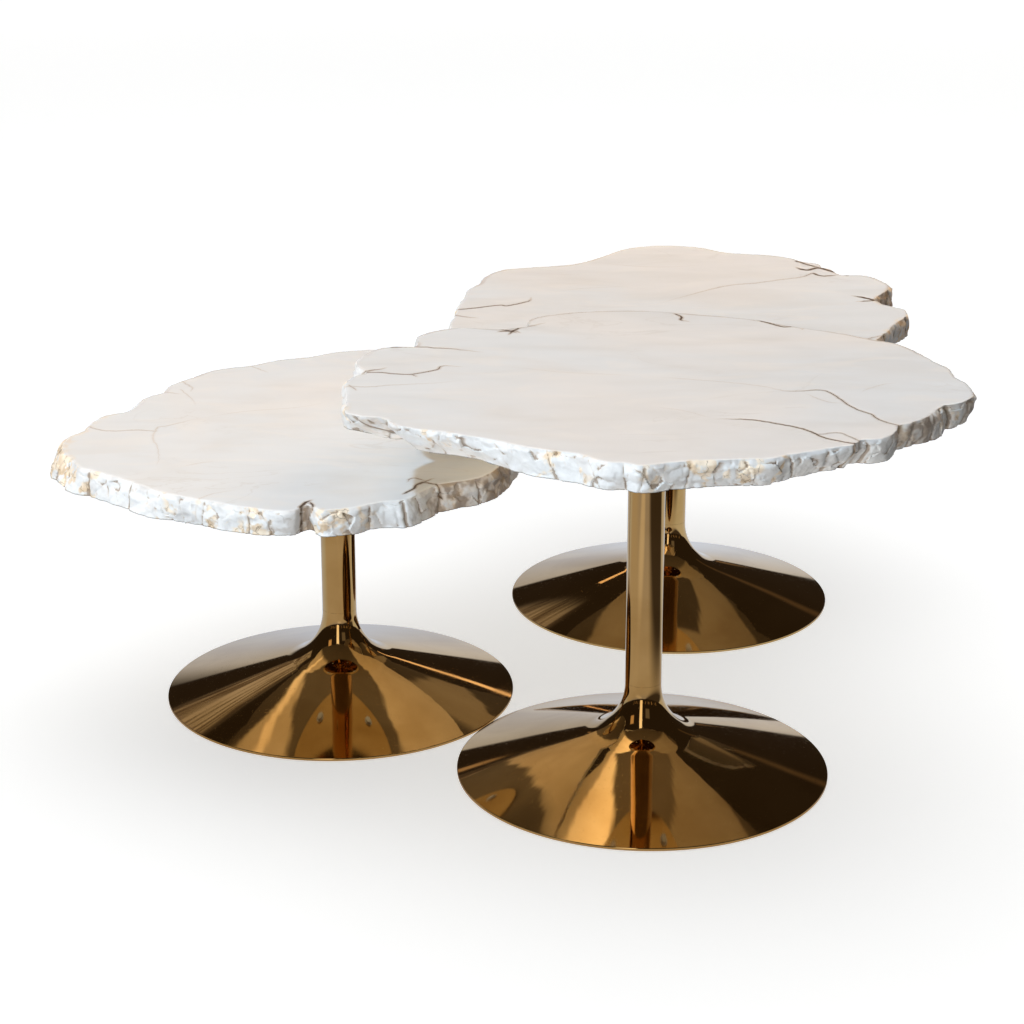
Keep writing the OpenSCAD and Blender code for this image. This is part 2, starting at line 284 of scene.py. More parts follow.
@dataclass(frozen=True)
class QuartzFinish(Finish):
    """Polished white quartz with faint veins and a painted sheen, its broken wall with ochre, dark seams
    and painted shade, and its underside with painted light and shadow.
    """

    name: str = "quartz"
    cool: Colour = (0.755, 0.785, 0.815)
    warm: Colour = (0.80, 0.785, 0.775)
    vein: Colour = (0.52, 0.46, 0.40)
    crystal: Colour = (0.70, 0.70, 0.695)
    shaded_crystal: Colour = (0.58, 0.57, 0.56)
    ochre: Colour = (0.60, 0.46, 0.31)
    pale_ochre: Colour = (0.80, 0.69, 0.55)
    seam: Colour = (0.10, 0.062, 0.036)
    seam_edge: Colour = (0.46, 0.34, 0.23)
    sawn: Colour = (0.86, 0.75, 0.56)
    sawn_dark: Colour = (0.022, 0.014, 0.006)
    haze: Colour = (0.70, 0.675, 0.645)
    cream: Colour = (0.85, 0.82, 0.785)

    def build(self, bench: Bench) -> None:
        """Mixes face and wall by the mesh's stored values."""
        broken = bench.measure("broken")
        seam = bench.measure("seam")
        stain = bench.measure("ochre")
        hollow = bench.measure("hollow")
        here = bench.place()
        cloud = bench.grain(here, 2.1, 3.0, 0.5, 0.6).between(0.38, 0.62)
        face = bench.mix(cloud, self.cool, self.warm)
        drift = bench.place((1.0, 2.3, 1.0), (0, 0, 14))
        strand = abs(bench.grain(drift, 3.1, 9.0, 0.52, 1.1) - 0.5).between(0.0, 0.012, 1.0, 0.0)
        thick = bench.grain(here, 4.3, 2.0).between(0.46, 0.62)
        face = bench.mix(strand * thick * 0.18, face, self.vein)
        haze = bench.grain(drift, 5.0, 4.0, 0.55, 0.5).between(0.42, 0.72, 0.0, 0.30)
        face = bench.mix(haze, face, self.haze)
        # Painted sheen: warm pale patches stand in for soft reflections on the polished face.
        cream = bench.grain(drift, 6.2, 3.0, 0.5, 1.6).between(0.50, 0.68, 0.0, 0.3)
        face = bench.mix(cream, face, self.cream)

        lumps = bench.grain(here, 34.0, 6.0, 0.6, 0.4)
        wall = bench.mix(lumps.between(0.42, 0.68), self.crystal, self.shaded_crystal)
        patch = bench.grain(here, 26.0, 5.0, 0.62, 0.8)
        stained = (stain * 1.5 + patch - 0.62).between(0.36, 1.0)
        rusty = bench.mix(bench.grain(here, 60.0, 4.0).between(0.4, 0.65), self.pale_ochre, self.ochre)
        wall = bench.mix(stained, wall, rusty)
        # Painted shade: the wall darkens towards the cracks' browns in its recesses, in its clefts and
        # on the bearings the marks shade.
        wall = bench.mix(hollow.between(0.3, 1.0, 0.0, 0.6), wall, self.seam_edge)
        wall = bench.mix(hollow.between(0.65, 1.0, 0.0, 0.45), wall, self.seam)
        swirl = bench.node(
            "ShaderNodeTexNoise", None, {"Vector": here, "Scale": 55.0, "Detail": 4.0}, "Color"
        )
        for operation, inputs in (("SCALE", {"Scale": 0.022}), ("ADD", {1: here})):
            swirl = bench.node("ShaderNodeVectorMath", {"operation": operation}, {0: swirl, **inputs})
        cells = bench.node(
            "ShaderNodeTexVoronoi", {"feature": "DISTANCE_TO_EDGE"}, {"Vector": swirl, "Scale": 48.0}
        )
        web = cells.between(0.0, 0.035, 1.0, 0.0)
        webbed = web * (stain * 1.2 + patch - 0.75).between(0.2, 0.75)
        wall = bench.mix(webbed * 0.6, wall, self.seam)

        face = bench.mix(stain.between(0.25, 1.0, 0.0, 0.55), face, self.pale_ochre)
        colour = bench.mix(broken, face, wall)
        # Cracks darken the face, and so does the rim's brown line with its painted shade.
        colour = bench.mix(seam.between(0.0, 0.35, 0.0, 0.5), colour, self.seam_edge)
        colour = bench.mix(seam.between(0.25, 0.70), colour, self.seam)

        # The underside runs from painted shadow to painted light by its stored tone, with the sawn tan
        # at the lit end.
        under = bench.measure("under")
        cut = bench.grain(here, 14.0, 4.0).between(0.3, 0.7, 0.0, 0.25)
        below = bench.mix(bench.measure("tone"), self.sawn_dark, bench.mix(cut, self.sawn, self.ochre))
        colour = bench.mix(under, colour, below)

        ripple = bench.grain(bench.place((1.0, 1.8, 1.0), (0, 0, 20)), 7.0, 1.5, 0.4, 0.4)
        polished = bench.bump(ripple, 0.004, 0.35)
        coarse = bench.grain(here, 120.0, 6.0, 0.65) * broken
        normal = bench.bump(coarse, 0.0012, 0.5, polished)
        smear = bench.grain(here, 11.0, 3.0).between(0.3, 0.7, 0.10, 0.17)
        rough = (smear + broken * 0.42 + seam * 0.35).highest(under * 0.9)
        bench.finish(
            Base_Color=colour, Roughness=rough, Normal=normal, IOR=1.5, Specular_IOR_Level=0.5
        )


@dataclass(frozen=True)
class BronzeFinish(Finish):
    """Mirror-polished antique bronze with hairlines, specks and a slight spun ripple."""

    name: str = "polished_bronze"
    bright: Colour = (0.60, 0.375, 0.145)
    deep: Colour = (0.50, 0.295, 0.10)
    speck: Colour = (0.12, 0.075, 0.03)
    roughness: float = 0.035

    def build(self, bench: Bench) -> None:
        """Adds tone, smudges, hairlines and ripple to a metal surface."""
        here = bench.place()
        tone = bench.grain(here, 9.0, 4.0, 0.5, 0.5).between(0.35, 0.7)
        colour = bench.mix(tone, self.bright, self.deep)
        speck = bench.grain(here, 420.0, 2.0).between(0.74, 0.80)
        colour = bench.mix(speck * 0.6, colour, self.speck)
        hair = bench.grain(bench.place((1.0, 26.0, 6.0), (0, 0, 31)), 60.0, 2.0)
        hair_b = bench.grain(bench.place((22.0, 1.0, 5.0), (0, 0, -23)), 52.0, 2.0)
        scratched = hair.between(0.70, 0.76) + hair_b.between(0.71, 0.77)
        smudge = bench.grain(here, 6.5, 5.0, 0.62, 0.6).between(0.42, 0.75, 0.0, 0.05)
        rough = smudge + scratched * 0.14 + speck * 0.4 + self.roughness
        ripple = bench.grain(here, 5.5, 1.0, 0.3, 0.0)
        normal = bench.bump(ripple, 0.004, 0.28)
        normal = bench.bump(scratched, 0.00002, 0.4, normal)
        bench.finish(Base_Color=colour, Metallic=1.0, Roughness=rough, Normal=normal)


@dataclass(frozen=True)
class MetalFinish(Finish):
    """A plain metal or paint with a fine grain."""

    name: str
    light: Colour
    dark: Colour
    metallic: float
    roughness: float
    grain_scale: float
    grain_depth: float = 0.0001

    def build(self, bench: Bench) -> None:
        """Varies colour, roughness and relief by one grain."""
        here = bench.place()
        grain = bench.grain(here, self.grain_scale, 5.0, 0.6)
        wear = bench.grain(here, self.grain_scale / 12, 4.0, 0.6).between(0.35, 0.7)
        colour = bench.mix(wear, self.light, self.dark)
        rough = grain.between(0.2, 0.8, self.roughness * 0.8, self.roughness * 1.2)
        normal = bench.bump(grain, self.grain_depth, 0.5)
        bench.finish(Base_Color=colour, Metallic=self.metallic, Roughness=rough, Normal=normal)


QUARTZ = QuartzFinish()
BRONZE = BronzeFinish()
BLACK_STEEL = MetalFinish("plate_steel", (0.055, 0.055, 0.055), (0.035, 0.035, 0.035), 0.0, 0.42, 700)
ZINC = MetalFinish("zinc_steel", (0.64, 0.64, 0.65), (0.50, 0.50, 0.52), 1.0, 0.30, 900)
CAST_IRON = MetalFinish("cast_iron", (0.09, 0.09, 0.095), (0.05, 0.05, 0.052), 0.0, 0.62, 260, 0.0006)
BRASS = MetalFinish("insert_brass", (0.72, 0.56, 0.26), (0.60, 0.44, 0.19), 1.0, 0.28, 800)
GASKET = MetalFinish("gasket_rubber", (0.06, 0.06, 0.06), (0.04, 0.04, 0.04), 0.0, 0.8, 900)
PAD = MetalFinish("pad_rubber", (0.05, 0.05, 0.05), (0.035, 0.035, 0.035), 0.0, 0.85, 500, 0.0002)


# --- Mesh helpers ---


def centre_of(node: str) -> Vector:
    """Middle of a CAD node's box."""
    low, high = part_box(node)
    return (low + high) / 2


def circle(count: int) -> list[Point]:
    """Cosine and sine of evenly spaced turns."""
    turns = [WHOLE_TURN * k / count for k in range(count)]
    return [(math.cos(turn), math.sin(turn)) for turn in turns]


def bands(rows: int, count: int, start: int = 0, closed: bool = False) -> list[list[int]]:
    """Faces between neighbouring rings of points.

    Args:
        rows: Number of rings.
        count: Points in each ring.
        start: Number of the first point.
        closed: Whether the last ring joins the first one.

    Returns:
        The faces. They look outwards when the rings turn left and each ring lies above the last.
    """
    faces = []
    for j in range(rows if closed else rows - 1):
        a, b = start + j * count, start + (j + 1) % rows * count
        for k in range(count):
            n = (k + 1) % count
            faces.append([a + k, a + n, b + n, b + k])
    return faces


def turned_over(faces: list[list[int]]) -> list[list[int]]:
    """The same faces with their other side outwards and the same first point."""
    return [face[:1] + face[:0:-1] for face in faces]


def new_object(
    name: str, points: Sequence, faces: Sequence, material: bpy.types.Material | None = None,
    edges: Sequence = (),
) -> bpy.types.Object:
    """Links a mesh object at the origin.

    Args:
        name: The piece's name.
        points: Its vertices.
        faces: Its faces.
        material: Its material, if it has one yet.
        edges: Its loose edges.

    Returns:
        The object.
    """
    mesh = bpy.data.meshes.new(name)
    mesh.from_pydata([tuple(p) for p in points], edges, faces)
    if material:
        mesh.materials.append(material)
    made = bpy.data.objects.new(name, mesh)
    bpy.context.scene.collection.objects.link(made)
    return made


def soften(mesh: bpy.types.Mesh, degrees: float) -> None:
    """Shades a mesh smooth, apart from the edges that bend more than an angle."""
    bench = bmesh.new()
    bench.from_mesh(mesh)
    for face in bench.faces:
        face.smooth = True
    for edge in bench.edges:
        edge.smooth = len(edge.link_faces) == 2 and edge.calc_face_angle(0) < math.radians(degrees)
    bench.to_mesh(mesh)
    bench.free()


def store(mesh: bpy.types.Mesh, name: str, values: np.ndarray) -> None:
    """Keeps one number for each vertex under a name that finishes can read."""
    kept = mesh.attributes.new(name, "FLOAT", "POINT")
    kept.data.foreach_set("value", np.ascontiguousarray(values, dtype=np.float32))


def smoothed(values: np.ndarray, spread: float, axis: int = 0, closed: bool = True) -> np.ndarray:
    """Gaussian blur of an array along one axis.

    Args:
        values: The array.
        spread: Standard deviation in steps.
        axis: Axis to blur along.
        closed: Whether the axis runs round and round.

    Returns:
        The blurred array.
    """
    reach = max(1, math.ceil(3 * spread))
    weights = np.exp(-0.5 * (np.arange(-reach, reach + 1) / spread) ** 2)
    weights /= weights.sum()
    moved = np.moveaxis(values, axis, 0)
    padded = np.concatenate([moved[-reach:], moved, moved[:reach]]) if closed else np.concatenate(
        [np.repeat(moved[:1], reach, 0), moved, np.repeat(moved[-1:], reach, 0)]
    )
    out = sum(w * padded[i:i + len(moved)] for i, w in enumerate(weights))
    return np.moveaxis(out, 0, axis)


# --- Slabs ---


@dataclass(frozen=True)
class Crack:
    """A natural crack in a polished face, as points in millimetres from the column's axis."""

    points: tuple[Point, ...]
    width: float
    strength: float
    fade_in: float
    fade_out: float

    @classmethod
    def through(
        cls, width: float, strength: float, fade_in: float, fade_out: float, *numbers: float
    ) -> "Crack":
        """Makes a crack from x, y, x, y and so on."""
        points = tuple(zip(numbers[::2], numbers[1::2]))
        return cls(points, width, strength, fade_in, fade_out)

    def line(self, seed: float, step: float = 2.0) -> np.ndarray:
        """Runs a smooth, slightly wandering line through the points.

        Args:
            seed: Moves the wander along its noise.
            step: Distance between the line's points, in millimetres.

        Returns:
            Rows of x, y and strength.
        """
        knots = np.array(self.points, float)
        knots = np.vstack([2 * knots[0] - knots[1], knots, 2 * knots[-1] - knots[-2]])
        rows = []
        for i in range(1, len(knots) - 2):
            p0, p1, p2, p3 = knots[i - 1:i + 3]
            count = max(2, round(float(np.hypot(*(p2 - p1))) / step))
            for t in np.arange(count) / count:
                rows.append(0.5 * (
                    2 * p1 + (p2 - p0) * t + (2 * p0 - 5 * p1 + 4 * p2 - p3) * t * t
                    + (3 * p1 - p0 - 3 * p2 + p3) * t ** 3
                ))
        rows.append(knots[-2])
        line = np.array(rows)
        for row in line:
            spot = Vector((row[0] * 0.11, row[1] * 0.11, seed))
            for size, fineness in ((1.2, 1.0), (1.4, 3.9)):
                row += size * np.array(noise.noise_vector(spot * fineness))[:2]
        along = np.linspace(0, 1, len(line))
        rise = np.clip(along / max(self.fade_in, 1e-3), 0, 1) if self.fade_in else np.ones(len(line))
        fall = np.clip((1 - along) / max(self.fade_out, 1e-3), 0, 1) if self.fade_out else rise
        return np.column_stack([line, self.strength * rise * np.minimum(1, fall ** 0.6)])


@dataclass(frozen=True)
class Cleft:
    """A deep upright groove in the broken wall."""

    bearing: float
    width: float
    depth: float
    slant: float
    # Painted shade deep in the groove, in the cracks' brown.
    dark: float


@dataclass(frozen=True)
class Stain:
    """An ochre patch on the wall, centred on a bearing, and how much painted shade, partly the stone's
    own darker colour, it adds to the wall there.
    """

    bearing: float
    width: float
    strength: float
    grime: float = 0.0

    def spread(self, bearing: np.ndarray, bend: np.ndarray | float = 0.0) -> np.ndarray:
        """Share of the patch at bearings in degrees."""
        off = (bearing - self.bearing + 180) % 360 - 180 + bend
        return np.exp(-((off / self.width) ** 2))


@dataclass(frozen=True)
class Tone:
    """A patch of painted light and shade on the underside between two slanting lines: a high tone is
    painted light, a low one painted shadow.
    """

    tone: float
    left: tuple[float, float]
    right: tuple[float, float]
    near: float = -600
    far: float = 600
    soft: float = 8

    def share(self, x: np.ndarray, y: np.ndarray) -> np.ndarray:
        """Share of the patch at places in millimetres from the column."""
        soft = self.soft
        left = self.left[0] + self.left[1] * (y - 100)
        right = self.right[0] + self.right[1] * (y - 100)
        parts = [(x - left) / soft + 0.5, (right - x) / soft + 0.5]
        parts += [(y - self.near) / soft + 0.5, (self.far - y) / soft + 0.5]
        return np.prod([np.clip(part, 0, 1) for part in parts], axis=0)


@dataclass(frozen=True)
class SlabSizes:
    """How finely a slab's wall and face are modelled, in metres."""

    spacing: float = 1.7 * MM
    rows: int = 30
    arris: float = 0.5 * MM
    large_chip: float = 24 * MM
    small_chip: float = 9 * MM
    chip_depth: float = 2.6 * MM
    grit_depth: float = 0.5 * MM
    edge_nibble: float = 1.1 * MM
    face_grid: float = 16 * MM
    under_grid: float = 9 * MM
    crack_halo: float = 5 * MM
    crack_groove: float = 0.35 * MM
    crack_margin: float = 1.5 * MM
    calm_rim: float = 5 * MM
    hollow_depth: float = 1.3 * MM
    rim_insets: tuple[float, float] = (4 * MM, 9 * MM)
    grid_margin: float = 14 * MM
    under_margin: float = 6 * MM
    bore_margin: float = 3 * MM
    bore_points: int = 24
    stain_reach: float = 26 * MM


@dataclass(frozen=True)
class Marks:
    """What sets one slab apart: its marks, and where its chips lie in their noise."""

    seed: int
    cracks: tuple[Crack, ...]
    clefts: tuple[Cleft, ...]
    stains: tuple[Stain, ...]
    # Painted light and shadow on the underside: a general level, then patches over it.
    tones: tuple[Tone, ...]


def grid_over(outline: np.ndarray, step: float) -> np.ndarray:
    """Places of a square grid over an outline's box."""
    ranges = [np.arange(low, high, step) for low, high in zip(outline.min(0), outline.max(0))]
    return np.column_stack([part.ravel() for part in np.meshgrid(*ranges)])


def triangulated(
    places: list[Vector], edges: list[tuple[int, int]], loops: list[list[int]]
) -> tuple[np.ndarray, list[list[int]], list[list[int]]]:
    """Fills the first loop with triangles, apart from the loops inside it.

    Args:
        places: Points that the triangles use.
        edges: Edges that the triangles keep.
        loops: The outer outline and the outlines of its holes.

    Returns:
        Points, triangles, and which of the given places each point is.
    """
    points, _, faces, sources, _, owners = geometry.delaunay_2d_cdt(places, edges, loops, 1, 1e-6)
    kept = [list(face) for face, owner in zip(faces, owners) if list(owner) == [0]]
    return np.array([tuple(point) for point in points]), kept, [list(source) for source in sources]


def numbered(
    sources: list[list[int]], count: int, first: int, total: int
) -> tuple[list[int], list[int]]:
    """Numbers a triangulation's points in the whole mesh.

    Args:
        sources: Which of the given places each point is.
        count: How many of these places the mesh has already.
        first: Number of the first of them in the mesh.
        total: How many points the mesh has.

    Returns:
        Each point's number in the mesh, and which points are new.
    """
    names, fresh = [], []
    for k, source in enumerate(sources):
        known = [place for place in source if place < count]
        names.append(first + known[0] if known else total + len(fresh))
        if not known:
            fresh.append(k)
    return names, fresh


@dataclass
class StoneSlab:
    """A slab with a polished face, a broken wall and a sawn underside with four screw bores."""

    table: TableName
    axis: Vector
    marks: Marks
    sizes: SlabSizes = field(default_factory=SlabSizes)

    @property
    def node(self) -> str:
        """The CAD node that the slab stands for."""
        return f"{self.table.value}_slab"

    def rings(self) -> tuple[np.ndarray, np.ndarray, np.ndarray]:
        """Reads the wall's rings from the CAD slab.

        Returns:
            Bearings in radians, heights from the face downwards, and reach by height and bearing.
        """
        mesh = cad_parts[self.node].data
        points = np.empty(len(mesh.vertices) * 3, np.float32)
        mesh.vertices.foreach_get("co", points)
        points = np.unique(np.round(points.reshape(-1, 3).astype(float), 5), axis=0)
        flat = points[:, :2] - np.array(self.axis)[:2]
        reach = np.hypot(flat[:, 0], flat[:, 1])
        points, flat, reach = points[reach > 0.2], flat[reach > 0.2], reach[reach > 0.2]
        levels = np.unique(np.round(points[:, 2], 4))[::-1]
        bearing = np.arctan2(flat[:, 1], flat[:, 0])
        table = []
        for level in levels:
            here = np.abs(points[:, 2] - level) < 2e-4
            order = np.argsort(bearing[here])
            table.append((bearing[here][order], reach[here][order]))
        return table[0][0], levels, np.array([
            np.interp(table[0][0], b, r, period=WHOLE_TURN) for b, r in table
        ])

    def shape_wall(self) -> tuple[np.ndarray, np.ndarray]:
        """Resamples the wall finely, and breaks it into chips, grit and clefts.

        Returns:
            Points by row and bearing, and the painted shade of its recesses and clefts.
        """
        sizes = self.sizes
        bearings, levels, reach = self.rings()
        edge = np.column_stack([reach[0] * np.cos(bearings), reach[0] * np.sin(bearings)])
        steps = np.hypot(*(np.roll(edge, -1, 0) - edge).T)
        length = np.concatenate([[0], np.cumsum(steps)])
        count = int(length[-1] / sizes.spacing)
        turn = np.interp(
            np.linspace(0, length[-1], count, endpoint=False),
            length, np.append(bearings, bearings[0] + WHOLE_TURN),
        )
        fine = np.array([np.interp(turn, bearings, row, period=WHOLE_TURN) for row in reach])
        fine = smoothed(fine, 2.2, axis=1)
        top, foot = levels[0], levels[-1]
        depth = (top - foot) * np.linspace(0, 1, sizes.rows) ** 1.15
        heights = top - depth
        rows = np.array([
            np.interp(-heights, -levels, fine[:, i]) for i in range(count)
        ]).T
        rows[1:-1] = smoothed(rows, 1.2, axis=0, closed=False)[1:-1]
        out = np.stack([np.cos(turn), np.sin(turn)], -1)
        points = np.empty((sizes.rows, count, 3))
        points[:, :, 0] = self.axis.x + rows * out[:, 0]
        points[:, :, 1] = self.axis.y + rows * out[:, 1]
        points[:, :, 2] = heights[:, None]
        flat = points[0, :, :2]
        along = smoothed(np.roll(flat, -3, 0) - np.roll(flat, 3, 0), 5)
        along /= np.linalg.norm(along, axis=1)[:, None]
        normal = np.stack([along[:, 1], -along[:, 0]], -1)
        carve, hollow = self.breakage(points, turn, depth)
        points[:, :, :2] += carve[:, :, None] * normal[None]
        inner = points[:1].copy()
        inner[0, :, :2] -= sizes.arris * normal
        points[0, :, 2] -= sizes.arris * 0.7
        return np.concatenate([inner, points]), np.concatenate([hollow[:1] * 0, hollow])

    def breakage(
        self, points: np.ndarray, turn: np.ndarray, depth: np.ndarray
    ) -> tuple[np.ndarray, np.ndarray]:
        """How far each wall point moves outwards, and how much painted shade the wall gets there.

        Args:
            points: The wall's points by row and bearing.
            turn: Bearings in radians.
            depth: Depth of each row below the face.

        Returns:
            Outward moves in metres, and painted shade of recesses and clefts from 0 to 1.
        """
        sizes = self.sizes
        shift = Vector([self.marks.seed * share for share in (1.37, 0.71, 2.11)])
        heights = [[self.roughness(Vector(point), shift) for point in row] for row in points]
        large, small, grit = np.moveaxis(np.array(heights), -1, 0)
        ease = np.clip(depth / sizes.calm_rim, 0, 1) ** 0.8
        ease = (ease * ease * (3 - 2 * ease))[:, None]
        carve = ease * (sizes.chip_depth * large + 0.3 * sizes.chip_depth * small)
        carve += sizes.grit_depth * 0.35 * grit * np.maximum(ease, 0.12)
        nibble = np.array([
            noise.fractal(Vector((x * 90, y * 90, self.marks.seed)), 0.8, 2.0, 4)
            for x, y in points[0, :, :2]
        ])
        carve += sizes.edge_nibble * nibble[None] * (1 - 0.5 * ease)
        groove = np.zeros(points.shape[:2])
        dark = np.zeros(points.shape[:2])
        reach = np.hypot(points[:, :, 0] - self.axis.x, points[:, :, 1] - self.axis.y)
        for cleft in self.marks.clefts:
            off = np.angle(np.exp(1j * (turn - math.radians(cleft.bearing))))
            waver = 1.5 * MM * np.array([noise.noise(Vector((d * 90, cleft.bearing, 0))) for d in depth])
            s = off[None] * reach - cleft.slant * depth[:, None] - waver[:, None]
            notch = np.exp(-np.abs(s / (cleft.width * MM * 0.5)) ** 1.5)
            groove = np.maximum(groove, cleft.depth * MM * notch)
            # Painted shade deep in the cleft.
            core = np.exp(-((s / (cleft.width * MM * 0.35)) ** 2))
            dark = np.maximum(dark, cleft.dark * core)
        carve -= groove * (0.35 + 0.65 * ease)
        # Painted shade in the relief's recesses, weaker near the face's rim.
        relief = carve - smoothed(smoothed(carve, 5, 1), 3, 0, False)
        hollow = np.clip(-relief / sizes.hollow_depth, 0, 1)
        return carve, np.maximum(hollow * ease, dark)

    def roughness(self, spot: Vector, shift: Vector) -> tuple[float, float, float]:
        """Heights of the large chips, the small chips and the grit at one place."""
        bent = spot + 0.006 * noise.noise_vector(spot * 45 + shift)
        large = self.facet(bent / self.sizes.large_chip + shift)
        small = self.facet(bent / self.sizes.small_chip + shift)
        return large, small, noise.fractal(spot * 260 + shift, 0.9, 2.1, 3)

    @staticmethod
    def facet(spot: Vector) -> float:
        """Height of a field of tilted facets at one place."""
        near, seats = noise.voronoi(spot)
        tilt = noise.cell_vector(seats[0] * 3.1) - Vector((0.5, 0.5, 0.5))
        level = noise.cell(seats[0] * 7.7)
        return 1.4 * tilt.dot(spot - seats[0]) + 0.55 * level - 0.6 * max(0, 0.25 - (near[1] - near[0]))

    def seam_lines(self) -> list[np.ndarray]:
        """Every crack's line in metres, as rows of x, y, strength and width."""
        lines = []
        for k, crack in enumerate(self.marks.cracks):
            line = crack.line(self.marks.seed + 0.37 * k)
            line[:, :2] = np.array(self.axis)[:2] + line[:, :2] * MM
            lines.append(np.column_stack([line, np.full(len(line), 1.25 * crack.width * MM)]))
        return lines

    def seam_at(self, places: np.ndarray, lines: Iterable[np.ndarray]) -> np.ndarray:
        """How dark the cracks make each place.

        Args:
            places: Rows of x and y.
            lines: The cracks' lines.

        Returns:
            Darkness from 0 to 1.
        """
        halo = self.sizes.crack_halo
        dark = np.zeros(len(places))
        for line in lines:
            for a, b in zip(line[:-1], line[1:]):
                step = b[:2] - a[:2]
                close = np.abs(places - a[:2]).max(1) < halo + np.abs(step).max()
                if not close.any():
                    continue
                rel = places[close] - a[:2]
                t = np.clip(rel @ step / max(step @ step, 1e-12), 0, 1)
                gap = np.linalg.norm(rel - t[:, None] * step, axis=1)
                force = a[2] + t * (b[2] - a[2])
                width = a[3] * (0.5 + 0.5 * force)
                value = np.where(
                    gap < width, 1 - 0.7 * gap / width,
                    0.3 * np.clip(1 - (gap - width) / (halo - width), 0, 1),
                )
                dark[close] = np.maximum(dark[close], force * value)
        return dark

    def face_mesh(
        self, outline: np.ndarray, lines: list[np.ndarray]
    ) -> tuple[np.ndarray, list[list[int]], list[list[int]]]:
        """Triangulates the polished face with a strip along every crack.

        Args:
            outline: The face's outline.
            lines: The cracks' lines.

        Returns:
            Points, triangles, and which point of the outline each point is, if any.
        """
        sizes = self.sizes
        inside = OutlineTest(outline)
        places = [Vector(p) for p in outline]
        edges: list[tuple[int, int]] = []
        for line in lines:
            ahead = np.gradient(line[:, :2], axis=0)
            ahead /= np.maximum(np.linalg.norm(ahead, axis=1)[:, None], 1e-9)
            side = np.stack([-ahead[:, 1], ahead[:, 0]], -1)
            width = line[:, 3] * (0.5 + 0.5 * line[:, 2])
            halo = np.full(len(line), sizes.crack_halo)
            for shift in (-halo, -width, 0 * width, width, halo):
                track = line[:, :2] + shift[:, None] * side
                kept = inside(track, sizes.crack_margin)
                for k in np.flatnonzero(kept):
                    if k and kept[k - 1]:
                        edges.append((len(places) - 1, len(places)))
                    places.append(Vector(track[k]))
        ahead = np.roll(outline, -4, 0) - np.roll(outline, 4, 0)
        ahead /= np.linalg.norm(ahead, axis=1)[:, None]
        inward = np.stack([-ahead[:, 1], ahead[:, 0]], -1)
        for inset in sizes.rim_insets:
            band = (outline + inset * inward)[::3]
            places += [Vector(p) for p in band[inside(band, 0.8 * inset)]]
        spots = grid_over(outline, sizes.face_grid)
        spots += 0.3 * sizes.face_grid * np.sin(spots[:, ::-1] * 977 + self.marks.seed)
        places += [Vector(p) for p in spots[inside(spots, sizes.grid_margin)]]
        return triangulated(places, edges, [list(range(len(outline)))])

    def underside_mesh(
        self, outline: np.ndarray
    ) -> tuple[np.ndarray, list[list[int]], list[list[int]]]:
        """Triangulates the underside around its bores.

        Args:
            outline: The underside's outline.

        Returns:
            Points, triangles, and which point of the outline or of a bore each point is, if any.
        """
        sizes = self.sizes
        places = [Vector(p) for p in outline]
        loops = [list(range(len(outline)))]
        spots = grid_over(outline, sizes.under_grid)
        spots = spots[OutlineTest(outline)(spots, sizes.under_margin)]
        for centre in self.bore_centres():
            first = len(places)
            places += [centre + BORE_RADIUS * Vector(way) for way in circle(sizes.bore_points)]
            loops.append(list(range(first, len(places))))
            gap = np.hypot(*(spots - np.array(centre)).T) - BORE_RADIUS
            spots = spots[gap > sizes.bore_margin]
        return triangulated(places + [Vector(p) for p in spots], [], loops)

    def bore_centres(self) -> list[Vector]:
        """Places of the four insert bores, from the inserts' box."""
        low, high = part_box(f"{self.table.value}_slab_inserts")
        half = (high.x - low.x) / 2 - INSERT_RADIUS
        return [
            Vector((self.axis.x + sx * half, self.axis.y + sy * half))
            for sx, sy in ((1, 1), (-1, 1), (-1, -1), (1, -1))
        ]

    def build(self) -> bpy.types.Object:
        """Makes the whole slab and gives it its finish and its body."""
        wall, hollow = self.shape_wall()
        rows, count = wall.shape[:2]
        lines = self.seam_lines()
        points = [wall.reshape(-1, 3)]
        faces = turned_over(bands(rows, count))
        wall_end = rows * count

        flat, tris, sources = self.face_mesh(wall[0, :, :2], lines)
        names, fresh = numbered(sources, count, 0, wall_end)
        faces += [[names[v] for v in tri] for tri in tris]
        worn = np.clip((self.seam_at(flat[fresh], lines) - 0.3) / 0.7, 0, 1)
        points.append(np.column_stack([flat[fresh], wall[0, 0, 2] - self.sizes.crack_groove * worn]))
        face_end = wall_end + len(fresh)

        flat, tris, sources = self.underside_mesh(wall[-1, :, :2])
        names, fresh = numbered(sources, count, wall_end - count, face_end)
        faces += [[names[v] for v in tri][::-1] for tri in tris]
        points.append(np.column_stack([flat[fresh], np.full(len(fresh), wall[-1, 0, 2])]))
        under_end = total = face_end + len(fresh)

        around = self.sizes.bore_points
        bores = {source[0] - count: name for source, name in zip(sources, names) if source}
        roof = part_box(f"{self.table.value}_slab_inserts")[1].z + 0.5 * MM
        for bore, centre in enumerate(self.bore_centres()):
            upper = np.array(centre) + BORE_RADIUS * np.array(circle(around))
            points.append(np.column_stack([upper, np.full(around, roof)]))
            ring = [bores[bore * around + k] for k in range(around)]
            for k in range(around):
                n = (k + 1) % around
                faces.append([ring[k], total + k, total + n, ring[n]])
            faces.append([total + k for k in range(around)][::-1])
            total += around

        everything = np.concatenate(points)
        made = new_object(f"{self.table.value}_stone", everything, faces, QUARTZ.material())
        mesh = made.data
        wall_part = slice(2 * count, wall_end)
        broken = np.ones(total)
        broken[:count] = broken[wall_end:face_end] = 0.0
        broken[count:2 * count] = 0.55
        seam = np.zeros(total)
        seam[:face_end] = self.seam_at(everything[:face_end, :2], lines)
        seam[wall_part] *= 0.7
